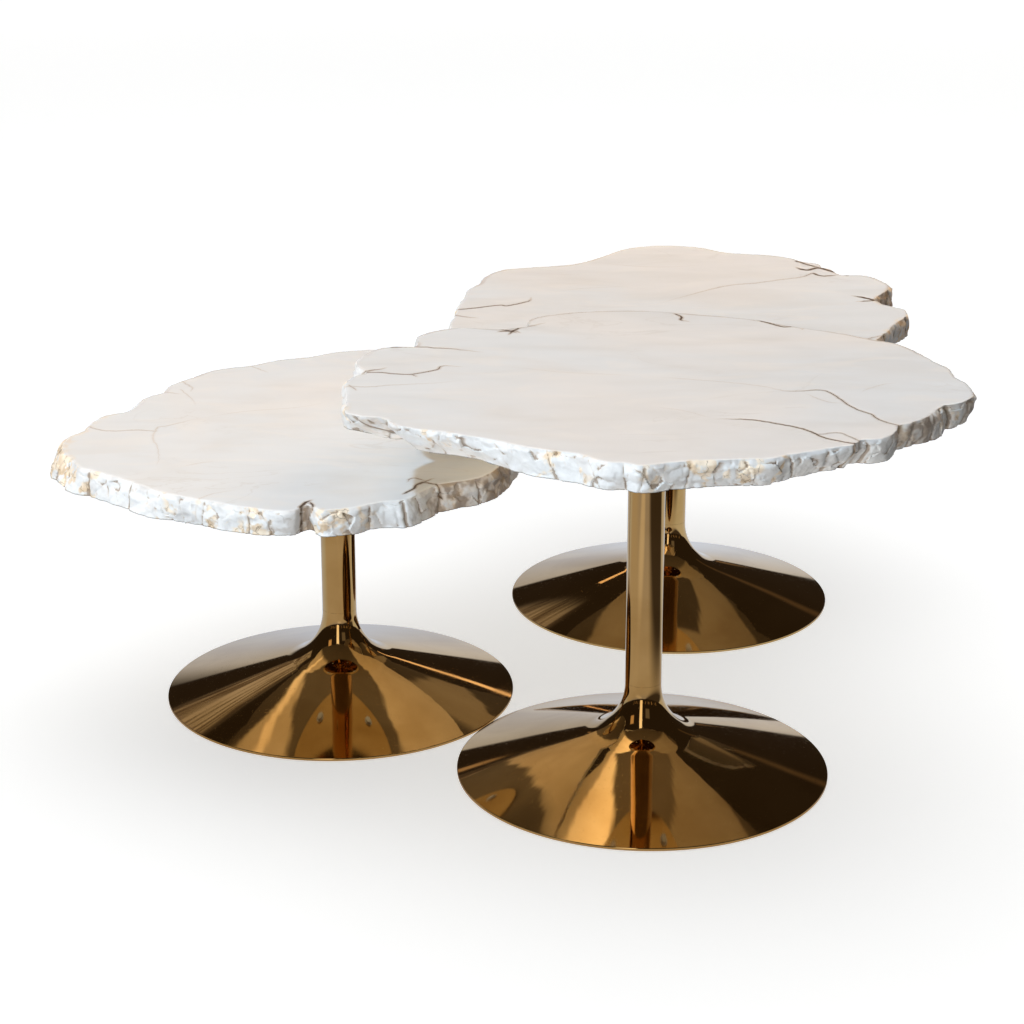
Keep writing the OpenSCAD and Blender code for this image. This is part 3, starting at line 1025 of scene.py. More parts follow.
        # Painted shade along the face's rim, with a brown line along the far side.
        rust = self.rust_at(everything[:face_end])
        rust[wall_part] = 0
        seam[:face_end] = np.maximum(seam[:face_end], rust)
        # Painted shade of the wall: its recesses and clefts, and the bearings that the marks shade,
        # partly the stone's darker colour.
        cavity = np.zeros(total)
        cavity[:wall_end] = np.maximum(hollow.ravel(), self.grime_at(everything[:wall_end]))
        under = np.zeros(total)
        under[face_end:under_end] = under[wall_end - count:wall_end] = 1.0
        store(mesh, "broken", broken)
        store(mesh, "seam", seam)
        store(mesh, "hollow", cavity)
        store(mesh, "ochre", self.stain_at(everything))
        store(mesh, "under", under)
        store(mesh, "tone", self.tone_at(everything))
        soften(mesh, 38)
        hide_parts(self.node)
        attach(made, f"{self.table.value}_table")
        return made

    def tone_at(self, places: np.ndarray) -> np.ndarray:
        """Painted light and shade of the underside, from 0, painted shadow, to 1, painted light."""
        x, y = (places[:, :2] - np.array(self.axis)[:2]).T / MM
        x = x + 4 * np.sin(y / 17 + self.marks.seed) + 3 * np.sin(y / 41)
        tone = np.full(len(places), self.marks.tones[0].tone)
        for patch in self.marks.tones[1:]:
            share = patch.share(x, y)
            tone += share * (patch.tone - tone)
        return tone

    def from_rim(self, places: np.ndarray) -> tuple[np.ndarray, np.ndarray]:
        """Bearing of each place in degrees, and how far it lies inside the face's rim."""
        flat = places[:, :2] - np.array(self.axis)[:2]
        turn = np.arctan2(flat[:, 1], flat[:, 0])
        bearings, _, rings = self.rings()
        rim = np.interp(turn, bearings, rings[0], period=WHOLE_TURN)
        return np.degrees(turn), rim - np.hypot(flat[:, 0], flat[:, 1])

    def rust_at(self, places: np.ndarray) -> np.ndarray:
        """Brown line of the polished face's rim, strongest along the far side, with painted shade all
        round that dims the rim's highlight.
        """
        inset = self.from_rim(places)[1]
        behind = np.clip((places[:, 1] - self.axis.y) / 0.15, 0, 1)
        rust = (0.10 + 0.22 * behind) * np.clip(1 - inset / ((3 + 6 * behind) * MM), 0, 1)
        for k in np.flatnonzero(rust > 0):
            rust[k] *= 0.8 + 0.9 * noise.noise(Vector(places[k]) * 24)
        return rust

    def grime_at(self, places: np.ndarray) -> np.ndarray:
        """Painted shade of the wall, partly its darker stone colour, by bearing and in blotches."""
        bearing = self.from_rim(places)[0]
        grime = np.zeros(len(places))
        for stain in self.marks.stains:
            grime = np.maximum(grime, stain.grime * stain.spread(bearing))
        for k in np.flatnonzero(grime > 0.05):
            grime[k] *= 0.95 + 0.9 * noise.fractal(Vector(places[k]) * 50, 0.8, 2.0, 3)
        return np.clip(grime, 0, 1)

    def stain_at(self, places: np.ndarray) -> np.ndarray:
        """How ochre each place is: most on the wall, and a little on the face beside it."""
        bearing, inset = self.from_rim(places)
        near = np.clip(1 - inset / self.sizes.stain_reach, 0, 1) ** 2
        stained = np.zeros(len(places))
        bend = np.zeros(len(places))
        blotch = np.zeros(len(places))
        for k in np.flatnonzero(near > 0):
            spot = Vector(places[k])
            bend[k] = noise.noise(spot * 42)
            blotch[k] = noise.fractal(spot * 75, 0.8, 2.0, 3)
        for stain in self.marks.stains:
            stained = np.maximum(stained, stain.strength * stain.spread(bearing, 4.5 * bend))
        return stained * near * np.clip(0.75 + 1.3 * blotch, 0, 1.2)


class OutlineTest:
    """Tells which places lie inside an outline, and not too near it."""

    def __init__(self, outline: np.ndarray) -> None:
        """Keeps the outline's points and edges."""
        self.a = outline
        self.b = np.roll(outline, -1, 0)

    def __call__(self, places: np.ndarray, margin: float) -> np.ndarray:
        """Tests places.

        Args:
            places: Rows of x and y.
            margin: Distance to keep from the outline's points.

        Returns:
            True for each place that is inside.
        """
        result = np.zeros(len(places), bool)
        for k, (x, y) in enumerate(places):
            crosses = (self.a[:, 1] > y) != (self.b[:, 1] > y)
            a, b = self.a[crosses], self.b[crosses]
            where = a[:, 0] + (y - a[:, 1]) / (b[:, 1] - a[:, 1]) * (b[:, 0] - a[:, 0])
            if (where > x).sum() % 2 == 1:
                gap = np.hypot(self.a[:, 0] - x, self.a[:, 1] - y).min()
                result[k] = gap > margin
        return result


# --- Geometry Nodes trees ---


class Tool(Enum):
    """The two shaping trees."""

    LATHE = "lathe"
    RING = "ring_of_pieces"


def open_tree(tool: Tool, inputs: dict[str, str]) -> tuple[Bench, dict[str, Wire]]:
    """Starts a Geometry Nodes tree with named inputs and one geometry in and out."""
    tree = bpy.data.node_groups.new(tool.value, "GeometryNodeTree")
    inputs = {"Shape": "Geometry", **inputs, "Finish": "Material"}
    for label, kind in inputs.items():
        tree.interface.new_socket(label, in_out="INPUT", socket_type=f"NodeSocket{kind}")
    tree.interface.new_socket("Shape", in_out="OUTPUT", socket_type="NodeSocketGeometry")
    bench = Bench(tree)
    return bench, {label: bench.node("NodeGroupInput", output=label) for label in inputs}


def close_tree(bench: Bench, shape: Wire, finish: Wire) -> None:
    """Ends a tree in real geometry with its material."""
    real = bench.node("GeometryNodeRealizeInstances", None, {"Geometry": shape})
    dressed = bench.node("GeometryNodeSetMaterial", None, {"Geometry": real, "Material": finish})
    end = bench.tree.nodes.new("NodeGroupOutput")
    bench.tree.links.new(dressed.socket, end.inputs[0])


def lathe_tree() -> bpy.types.NodeTree:
    """Tree that turns a closed half section round the upright axis."""
    bench, given = open_tree(Tool.LATHE, {"Radius": "Float", "Segments": "Int"})
    section = bench.node("GeometryNodeMeshToCurve", None, {"Mesh": given["Shape"]})
    path = bench.node(
        "GeometryNodeCurvePrimitiveCircle",
        {"mode": "RADIUS"},
        {"Resolution": given["Segments"], "Radius": given["Radius"]},
    )
    upright = bench.node("GeometryNodeSetCurveNormal", {"mode": "Z_UP"}, {"Curve": path})
    swept = bench.node(
        "GeometryNodeCurveToMesh", None, {"Curve": upright, "Profile Curve": section}
    )
    close_tree(bench, swept, given["Finish"])
    return bench.tree


def ring_tree() -> bpy.types.NodeTree:
    """Tree that sets copies of a piece evenly round the upright axis."""
    bench, given = open_tree(
        Tool.RING, {"Count": "Int", "Radius": "Float", "First Angle": "Float"}
    )
    seats = bench.node(
        "GeometryNodeMeshCircle", None, {"Vertices": given["Count"], "Radius": given["Radius"]}
    )
    turn = bench.node("ShaderNodeCombineXYZ", None, {"Z": given["First Angle"]})
    seats = bench.node("GeometryNodeTransform", None, {"Geometry": seats, "Rotation": turn})
    spin = bench.node(
        "ShaderNodeCombineXYZ", None, {"Z": bench.node("GeometryNodeInputIndex") * 1.1}
    )
    copies = bench.node(
        "GeometryNodeInstanceOnPoints",
        None,
        {"Points": seats, "Instance": given["Shape"], "Rotation": spin},
    )
    close_tree(bench, copies, given["Finish"])
    return bench.tree


def shaped_by(made: bpy.types.Object, tool: Tool, values: dict[str, object]) -> None:
    """Runs a shaping tree on an object and keeps the result as its plain mesh.

    Args:
        made: The object.
        tool: Which tree.
        values: The tree's inputs by name.
    """
    tree = bpy.data.node_groups.get(tool.value)
    if tree is None:
        tree = {Tool.LATHE: lathe_tree, Tool.RING: ring_tree}[tool]()
    modifier = made.modifiers.new(tool.value, "NODES")
    modifier.node_group = tree
    for item in tree.interface.items_tree:
        if item.in_out == "INPUT" and item.name in values:
            modifier[item.identifier] = values[item.name]
    graph = bpy.context.evaluated_depsgraph_get()
    mesh = bpy.data.meshes.new_from_object(made.evaluated_get(graph), depsgraph=graph)
    made.modifiers.remove(modifier)
    old = made.data
    made.data = mesh
    mesh.name = made.name
    bpy.data.meshes.remove(old)


# --- Pedestals ---


def turned_piece(
    name: str, section: Sequence[Point], axis: Vector, finish: Finish, segments: int = 288
) -> bpy.types.Object:
    """Turns a closed half section round an upright axis.

    Args:
        name: The piece's name.
        section: Points of the half section as reach and height, in metres.
        axis: A point of the axis.
        finish: Its finish.
        segments: Facets round the axis.

    Returns:
        The piece.
    """
    path_radius = 0.5
    points = [(reach - path_radius, -height, 0.0) for reach, height in section]
    made = new_object(name, points, [], edges=[(k, (k + 1) % len(points)) for k in range(len(points))])
    values = {"Radius": path_radius, "Segments": segments, "Finish": finish.material()}
    shaped_by(made, Tool.LATHE, values)
    bench = bmesh.new()
    bench.from_mesh(made.data)
    bmesh.ops.remove_doubles(bench, verts=bench.verts, dist=1e-6)
    bmesh.ops.recalc_face_normals(bench, faces=bench.faces)
    bmesh.ops.translate(bench, verts=bench.verts, vec=(axis.x, axis.y, 0))
    bench.to_mesh(made.data)
    bench.free()
    soften(made.data, 30)
    return made


@dataclass
class TrumpetBase:
    """The spun trumpet: a thin shell with a straight flank swept up into a collar."""

    table: TableName
    axis: Vector
    slope: float = 16.0
    fillet: float = 76 * MM
    shell: float = 3 * MM
    rim_height: float = 3.5 * MM
    rim_round: float = 1.2 * MM
    neck_radius: float = 25 * MM
    chamfer: float = 0.12 * MM
    flank_rings: tuple[float, ...] = (0.001, 0.01, 0.05, 0.2, 0.35, 0.5, 0.65, 0.8, 0.95, 0.99)
    rim_steps: int = 6
    sweep_steps: int = 60

    def skin(self, inset: float, foot: float, collar_top: float, radius: float) -> list[Point]:
        """One skin of the shell, from the rim's foot up to the collar."""
        angle = math.radians(self.slope)
        sweep_reach = self.neck_radius + self.fillet
        rim_top = foot + self.rim_height
        sweep_height = rim_top + (radius - sweep_reach) * math.tan(angle) + self.fillet / math.cos(angle)
        rim = radius - inset
        corner = rim_top - inset / math.cos(angle) + inset * math.tan(angle)
        rounding = self.rim_round
        centre = corner + rounding * math.tan(angle) - rounding / math.cos(angle)
        points = [(rim, foot)]
        for k in range(self.rim_steps + 1):
            turn = math.radians(90 - self.slope) * k / self.rim_steps
            points.append((
                rim - rounding + rounding * math.cos(turn), centre + rounding * math.sin(turn)
            ))
        sweep = self.fillet + inset
        arc = []
        for k in range(self.sweep_steps + 1):
            turn = math.radians(-90 - self.slope - (90 - self.slope) * k / self.sweep_steps)
            arc.append((sweep_reach + sweep * math.cos(turn), sweep_height + sweep * math.sin(turn)))
        start, end = points[-1], arc[0]
        for share in self.flank_rings:
            points.append(tuple(a + share * (b - a) for a, b in zip(start, end)))
        points += arc
        points.append((self.neck_radius - inset, collar_top))
        return points

    def build(self) -> bpy.types.Object:
        """Makes the shell from both skins."""
        node = f"{self.table.value}_base_shell"
        low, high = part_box(node)
        radius = (high.x - low.x) / 2
        outer = self.skin(0.0, low.z, high.z - self.chamfer, radius)
        outer.append((self.neck_radius - self.chamfer, high.z))
        inner = self.skin(self.shell, low.z, high.z, radius)
        made = turned_piece(f"{self.table.value}_trumpet", outer + inner[::-1], self.axis, BRONZE)
        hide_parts(node)
        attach(made, f"{self.table.value}_table")
        return made


@dataclass
class ColumnTube:
    """The slim tube between base and plate, with a small chamfer at both ends."""

    table: TableName
    axis: Vector
    wall: float = 2.5 * MM
    chamfer: float = 0.12 * MM

    def build(self) -> bpy.types.Object:
        """Makes the tube from its half section."""
        node = f"{self.table.value}_column"
        low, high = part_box(node)
        radius = (high.x - low.x) / 2
        c = self.chamfer
        levels = np.linspace(low.z + c, high.z - c, 12)
        section = [(radius - c, low.z), *[(radius, z) for z in levels], (radius - c, high.z)]
        section += [(radius - self.wall, high.z), (radius - self.wall, low.z)]
        made = turned_piece(f"{self.table.value}_tube", section, self.axis, BRONZE)
        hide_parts(node)
        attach(made, f"{self.table.value}_table")
        return made


@dataclass
class PlateScrews:
    """Four hexagon screws with washers under the plate."""

    table: TableName
    axis: Vector
    flats: float = 13 * MM
    head: float = 5.5 * MM
    shank: float = 4 * MM
    washer: float = 9 * MM
    washer_bore: float = 4.5 * MM
    count: int = 4
    first_angle: float = math.radians(45)

    def ring_radius(self) -> float:
        """Distance of the screws from the column's axis, from the washers' box."""
        low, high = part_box(f"{self.table.value}_screw_washers")
        return ((high.x - low.x) / 2 - self.washer) / math.cos(self.first_angle)

    def screw_section(self) -> tuple[list[Colour], list[list[int]]]:
        """Points and faces of one screw, upright with its head below."""
        low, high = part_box(f"{self.table.value}_plate_screws")
        foot, shoulder, tip = low.z, low.z + self.head, high.z
        around = 36
        crown = self.flats / 2 * 0.94
        sixth = math.pi / 3
        hexagon = [
            self.flats / 2 / math.cos((WHOLE_TURN * k / around) % sixth - sixth / 2)
            for k in range(around)
        ]
        bevel = [foot + (r - crown) * math.tan(math.radians(30)) for r in hexagon]
        rings = (
            (crown, foot), (hexagon, bevel), (hexagon, shoulder), (self.shank, shoulder),
            (self.shank, tip - 1 * MM), (self.shank - 1 * MM, tip),
        )
        points = []
        for ring in rings:
            radii, heights = (np.broadcast_to(part, around).tolist() for part in ring)
            points += [(r * x, r * y, z) for r, z, (x, y) in zip(radii, heights, circle(around))]
        faces = bands(len(rings), around)
        faces.append(list(range(around))[::-1])
        faces.append(list(range(len(points) - around, len(points))))
        return points, faces

    def washer_section(self) -> tuple[list[Colour], list[list[int]]]:
        """Points and faces of one washer with rounded edges."""
        low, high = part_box(f"{self.table.value}_screw_washers")
        c = 0.25 * MM
        around = 40
        profile = [
            (self.washer_bore, low.z), (self.washer - c, low.z), (self.washer, low.z + c),
            (self.washer, high.z - c), (self.washer - c, high.z), (self.washer_bore, high.z),
        ]
        points = [(r * x, r * y, z) for r, z in profile for x, y in circle(around)]
        return points, bands(len(profile), around, closed=True)

    def build(self) -> list[bpy.types.Object]:
        """Makes the ring of screws and the ring of washers."""
        built = []
        for name, node, shape in (
            ("hex_screws", "plate_screws", self.screw_section()),
            ("washers", "screw_washers", self.washer_section()),
        ):
            made = new_object(f"{self.table.value}_{name}", *shape, ZINC.material())
            values = {
                "Count": self.count, "Radius": self.ring_radius(), "First Angle": self.first_angle,
                "Finish": ZINC.material(),
            }
            shaped_by(made, Tool.RING, values)
            made.data.transform(Matrix.Translation((self.axis.x, self.axis.y, 0)))
            soften(made.data, 30)
            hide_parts(f"{self.table.value}_{node}")
            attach(made, f"{self.table.value}_table")
            built.append(made)
        return built


KEPT_NODES: dict[str, Finish] = {
    "slab_inserts": BRASS,
    "slab_gasket": GASKET,
    "top_plate": BRONZE,
    "plate_boss": BLACK_STEEL,
    "neck_sleeve": BLACK_STEEL,
    "tie_rod": ZINC,
    "ballast": CAST_IRON,
    "rod_washer": ZINC,
    "rod_nut": ZINC,
    "base_pad": PAD,
}


@dataclass
class PedestalTable:
    """One whole table: slab, screws, tube, trumpet and the CAD pieces that keep their shape."""

    table: TableName
    marks: Marks

    def build(self) -> list[bpy.types.Object]:
        """Builds and dresses the table's pieces."""
        axis = centre_of(f"{self.table.value}_column")
        built = [
            StoneSlab(self.table, axis, self.marks).build(), TrumpetBase(self.table, axis).build()
        ]
        built += [ColumnTube(self.table, axis).build(), *PlateScrews(self.table, axis).build()]
        for piece, finish in KEPT_NODES.items():
            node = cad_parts[f"{self.table.value}_{piece}"]
            if not node.material_slots:
                node.data.materials.append(None)
            for slot in node.material_slots:
                slot.material = finish.material()
            built.append(node)
        return built


# --- The three tables' own marks ---


def many(kind: Callable, *rows: tuple) -> tuple:
    """Makes one mark of a kind from each row of its values."""
    return tuple(kind(*row) for row in rows)


TALL_TABLE = PedestalTable(TableName.TALL, Marks(
    seed=3,
    cracks=many(
        Crack.through,
        (1.3, 1.0, 0.25, 0.0, 56, -154, 94, -154, 123, -158, 166, -184, 187, -205, 204, -234, 244, -262),
        (0.9, 0.7, 0.1, 0.0, 184, -214, 201, -217, 224, -213, 246, -250),
        (1.0, 0.9, 0.35, 0.0, 121, 18, 154, -10, 179, -29, 221, -24, 234, -38, 246, -79, 257, -110, 273,
         -132, 281, -158, 308, -190),
        (0.7, 0.4, 0.4, 0.3, 195, -29, 222, -74, 247, -88),
        (0.8, 0.32, 0.3, 0.0, -9, 43, 69, 23, 114, 9, 154, -10),
        (0.8, 0.22, 0.4, 0.2, -222, 92, -168, 82, -115, 62, -62, 52, -9, 43),
        (0.8, 0.25, 0.4, 0.2, -16, -97, 34, -115, 70, -150),
        (0.7, 0.35, 0.3, 0.3, 330, 9, 310, 4, 288, -15, 272, -38),
        (1.2, 1.0, 0.0, 0.3, -400, 30, -376, 57, -355, 60, -332, 52, -311, 52, -281, 72, -272, 92, -243,
         87),
        (0.9, 0.8, 0.0, 0.4, -313, 52, -304, 38),
        (1.6, 0.9, 0.0, 0.5, -385, 62, -362, 72, -345, 84),
        (0.9, 0.5, 0.0, 0.8, -400, -8, -363, -8, -340, -1, -280, 9, -240, 24),
        (1.4, 0.5, 0.0, 0.4, -391, -2, -380, -28),
        (1.3, 0.9, 0.0, 0.5, -345, 186, -303, 189, -282, 183, -259, 178, -215, 160),
        (2.6, 0.9, 0.0, 0.4, -205, 288, -185, 277, -170, 262),
        (2.2, 0.85, 0.0, 0.5, -196, 272, -179, 275, -165, 297, -150, 304, -130, 322),
        (2.2, 0.8, 0.3, 0.4, -186, 250, -176, 275, -166, 262),
        (1.6, 0.6, 0.0, 0.7, -160, 320, -150, 342, -131, 359, -80, 379, -20, 386),
        (1.9, 0.9, 0.0, 0.4, 58, 370, 66, 353, 64, 336, 76, 326),
        (2.2, 0.9, 0.3, 0.2, 150, 345, 177, 331, 192, 314, 209, 297, 227, 302, 240, 290),
        (1.9, 0.85, 0.3, 0.2, 165, 338, 198, 325, 219, 319, 231, 302, 232, 280),
        (0.9, 0.5, 0.3, 0.2, 279, 270, 308, 242, 340, 215),
        (1.2, 0.3, 0.1, 0.5, -335, -158, -322, -180, -305, -212, -292, -226),
    ),
    clefts=many(
        Cleft,
        (306, 8, 3.0, 0.1, 0.5), (313, 9, 7.0, -0.25, 0.8), (316.5, 5, 3.0, 0.1, 0.7),
        (328.5, 9, 7.0, 0.2, 0.9), (333, 5, 3.0, -0.1, 0.6), (340, 5, 3, -0.2, 0.7),
        (346, 7, 5, 0.15, 0.8), (350.5, 4, 3, 0.0, 0.5), (297, 4, 2.5, 0.3, 0.7),
        (287, 3, 1.6, 0.35, 0.7), (276, 3, 1.8, -0.2, 0.8), (266.5, 3.5, 2.0, -0.2, 0.8),
        (261.8, 3.5, 2.0, 0.1, 0.7), (254, 2.6, 1.4, 0.5, 0.6), (244, 2.2, 1.2, 0.4, 0.8),
        (218, 3.0, 1.8, -0.3, 0.6), (199.5, 6, 4, 0.8, 0.55), (205, 8, 3, -0.5, 0.6), (16, 6, 3, 0, 0.6),
        (43, 8, 4, 0.1, 0.6), (58, 6, 3, 0, 0.5), (117, 10, 4, 0, 0.7), (148, 9, 4, 0, 0.7),
        (171, 7, 3, 0, 0.6), (97, 5, 2, 0.2, 0.4), (80, 5, 2.5, -0.2, 0.5), (3, 5, 3, 0.2, 0.6),
    ),
    # A fourth number adds painted shade to the wall, partly its darker stone colour.
    stains=many(
        Stain,
        (-143.5, 3.0, 0.9), (-115, 3.0, 0.75), (-106, 2.2, 0.6), (-92, 3.0, 0.5), (-80, 3.6, 0.9),
        (-72, 2.4, 0.8), (-66, 2.0, 0.7), (-54, 2.5, 0.4), (-29, 3.0, 0.55), (-14, 3.0, 0.5),
        (-166, 5.0, 0.85), (176, 5.0, 0.7), (150, 3.0, 0.7), (120, 4.0, 0.7), (60, 6.0, 0.6),
        (38, 4.0, 0.5), (90, 5.0, 0.35), (12, 4.0, 0.5), (-4, 12.0, 0.3, 1.0), (-26, 10.0, 0.3, 0.85),
        (-158, 8.0, 0.4, 0.5),
    ),
    # Painted light and shadow on the underside.
    tones=(
        Tone(0.17, (-600, 0), (600, 0)),
        Tone(0.42, (-600, 0), (-213, 0.44), soft=5),
        Tone(1.0, (-213, 0.44), (-72, -0.2), near=-60, soft=6),
        Tone(0.06, (-72, -0.2), (96, 0.32), soft=5),
        Tone(0.03, (-600, 0), (600, 0), far=-60, soft=50),
        Tone(0.03, (341, -0.42), (900, 0), soft=8),
    ),
))

LOW_TABLE = PedestalTable(TableName.LOW, Marks(
    seed=7,
    cracks=many(
        Crack.through,
        (1.0, 0.6, 0.0, 0.0, -366, 8, -332, -21, -310, -26, -282, -21, -254, -26),
        (0.9, 0.5, 0.0, 0.6, -254, -26, -253, -7, -243, -2, -215, 23, -203, 33),
        (0.9, 0.42, 0.0, 0.8, -254, -26, -253, -60, -242, -97, -232, -152, -230, -197),
        (0.9, 0.25, 0.3, 0.4, -215, 23, -143, 68, -58, 93, -9, 130),
        (0.9, 0.35, 0.0, 0.6, -245, 186, -230, 156, -216, 119, -212, 98),
        (0.8, 0.3, 0.3, 0.4, -198, -192, -173, -174, -152, -166),
        (0.9, 0.35, 0.0, 0.7, -160, -332, -141, -307, -107, -287),
        (1.0, 0.55, 0.0, 0.5, -280, 178, -262, 170, -238, 160),
        (1.0, 0.5, 0.0, 0.5, -248, 230, -228, 193, -229, 170),
        (1.0, 0.45, 0.0, 0.5, -160, 325, -133, 293, -119, 276),
        (1.6, 1.0, 0.3, 0.0, 122, -278, 136, -261, 160, -272),
        (1.8, 1.0, 0.1, 0.3, 108, -310, 122, -287, 128, -266, 150, -240),
        (1.2, 0.8, 0.3, 0.2, 112, -262, 120, -240, 138, -252),
        (2.6, 1.0, 0.0, 0.4, -22, -360, -14, -340, -8, -330),
        (1.8, 0.9, 0.0, 0.4, -4, -358, -10, -338),
    ),
    clefts=many(
        Cleft,
        (268, 9, 6, 0.05, 1.0), (288.5, 6, 4, 0.1, 0.7), (300.5, 7, 4, -0.2, 0.8),
        (256.5, 3, 1.8, 0.0, 0.7), (246, 2.6, 1.6, -0.1, 0.5), (240, 3, 2, 0.2, 0.6),
        (225.5, 4, 2.6, 0.1, 0.7), (213, 5, 3, 0.15, 0.55), (203.5, 6, 3, 0.5, 0.7),
        (196, 4, 2.5, -0.6, 0.7), (186, 6, 3, 0.3, 0.5), (168, 7, 4, 0, 0.6), (153, 6, 3, 0, 0.6),
        (148, 6, 4, 0, 0.6), (116, 7, 4, 0, 0.6), (101, 6, 3, 0, 0.6), (133, 5, 2.5, 0, 0.5),
        (310, 5, 3, 0.2, 0.7), (322, 5, 3, -0.2, 0.7), (336, 6, 3, 0.1, 0.6), (281, 4, 2, 0, 0.4),
        (20, 5, 3, 0, 0.5), (60, 5, 3, 0, 0.5),
    ),
    # A fourth number adds painted shade to the wall, partly its darker stone colour.
    stains=many(
        Stain,
        (190, 12, 1.9), (204, 6, 1.1), (172, 8, 1.2), (213, 3, 0.8), (236, 3, 0.55), (248, 3, 0.75),
        (258, 4.5, 0.95), (273, 4.5, 1.0), (281, 3, 0.5), (155, 7, 0.6), (135, 8, 0.7), (110, 7, 0.6),
        (228, 3, 0.4), (303, 8, 0.5, 1.1), (320, 12, 0.5, 1.1), (90, 6, 0.4),
    ),
    # Painted light and shadow on the underside.
    tones=(
        Tone(0.50, (-600, 0), (600, 0)),
        Tone(0.03, (-900, 0), (-279, 0.85), soft=6),
        Tone(1.0, (-218, 0.2), (-192, 0.2), soft=6),
        Tone(0.08, (-147, -0.1), (131, -0.28), soft=5),
        Tone(0.04, (-600, 0), (131, -0.28), far=-60, soft=50),
    ),
))

MIDDLE_TABLE = PedestalTable(TableName.MIDDLE, Marks(
    seed=12,
    cracks=many(
        Crack.through,
        (1.9, 0.95, 0.0, 0.25, -340, 2, -301, 18, -275, 31, -265, 25, -248, 38, -229, 57, -224, 83),
        (1.8, 0.7, 0.0, 0.5, -347, -30, -326, -44, -305, -52),
        (0.9, 0.25, 0.4, 0.4, -211, 103, -152, 136, -95, 150, -45, 163),
        (1.7, 0.6, 0.5, 0.0, -60, -7, -19, 44, 24, 90, 93, 157, 144, 177, 182, 198, 224, 219, 245, 247),
        (3.6, 1.0, 0.2, 0.0, 216, 300, 236, 268, 259, 283, 277, 261, 300, 230),
        (2.8, 0.9, 0.0, 0.3, 228, 332, 251, 297, 266, 283),
        (2.6, 0.9, 0.0, 0.2, 245, 247, 259, 226, 284, 233),
        (3.4, 1.0, 0.3, 0.0, 284, 98, 304, 83, 323, 64, 350, 52),
        (2.8, 0.9, 0.4, 0.0, 283, 51, 310, 57, 338, 66),
        (1.2, 0.7, 0.2, 0.0, 258, -196, 285, -170, 312, -150),
        (0.9, 0.3, 0.3, 0.4, -120, 330, -60, 300, 10, 290, 80, 310),
    ),
    clefts=many(
        Cleft,
        (11, 14, 8, 0.0, 1.0), (2.5, 5, 3, 0.1, 0.6), (38.5, 9, 5, 0, 0.8), (47, 7, 4, 0, 0.7),
        (353, 6, 4, 0.2, 0.7), (345, 5, 3, -0.2, 0.6), (335, 5, 3, 0.1, 0.6), (321, 4, 3, 0, 0.5),
        (20, 5, 3, 0.2, 0.5), (28, 5, 3, -0.1, 0.5), (160, 6, 3, 0, 0.5), (178, 6, 3, 0, 0.5),
        (112, 7, 4, 0, 0.6), (145, 6, 3, 0, 0.5), (205, 5, 3, 0, 0.5), (240, 5, 3, 0, 0.5),
        (282, 5, 3, 0, 0.5), (70, 5, 3, 0, 0.5),
    ),
    # A fourth number adds painted shade to the wall, partly its darker stone colour.
    stains=many(
        Stain,
        (40, 6, 1.1, 0.6), (8, 8, 1.1, 0.8), (352, 8, 1.1, 0.7), (20, 6, 0.9, 0.8), (180, 7, 0.7),
        (165, 5, 0.6), (335, 6, 0.9), (112, 6, 0.5), (60, 5, 0.5), (195, 6, 0.5), (300, 6, 0.5),
        (250, 8, 0.4),
    ),
    # Painted light and shadow on the underside.
    tones=(
        Tone(0.22, (-600, 0), (600, 0)),
        Tone(0.03, (-900, 0), (-250, 0.3), soft=8),
        Tone(0.02, (-100, -0.1), (110, 0.14), near=118, soft=5),
        Tone(0.05, (-600, 0), (600, 0), far=-60, soft=50),
        Tone(0.03, (296, -0.25), (900, 0), soft=8),
    ),
))


# --- Studio ---


@dataclass(frozen=True)
class CameraPlace:
    """Where the camera stands, from the tall table's column."""

    left: float = 0.1790
    back: float = 3.1433
    height: float = 1.4558
    pitch: float = 18.992
    lens: float = 87.73
    sensor: float = 36.0

    def build(self, axis: Vector) -> bpy.types.Object:
        """Makes the scene's camera."""
        data = bpy.data.cameras.new("camera")
        data.lens = self.lens
        data.sensor_width = self.sensor
        data.clip_end = 60
        made = bpy.data.objects.new("camera", data)
        made.location = (axis.x - self.left, axis.y - self.back, self.height)
        made.rotation_euler = (math.radians(90 - self.pitch), 0, 0)
        bpy.context.scene.collection.objects.link(made)
        bpy.context.scene.camera = made
        return made


@dataclass(frozen=True)
class Lamp:
    """One light: a sun if it has no width and height."""

    name: str
    strength: float
    colour: Colour
    place: Colour
    shape: tuple[float, float] | None
    angle: float = 0.0
    on_floor: bool = False


def group_of(name: str, members: Iterable[bpy.types.Object]) -> bpy.types.Collection:
    """Collection of the objects that a light reaches."""
    made = bpy.data.collections.new(name)
    for member in members:
        made.objects.link(member)
    return made


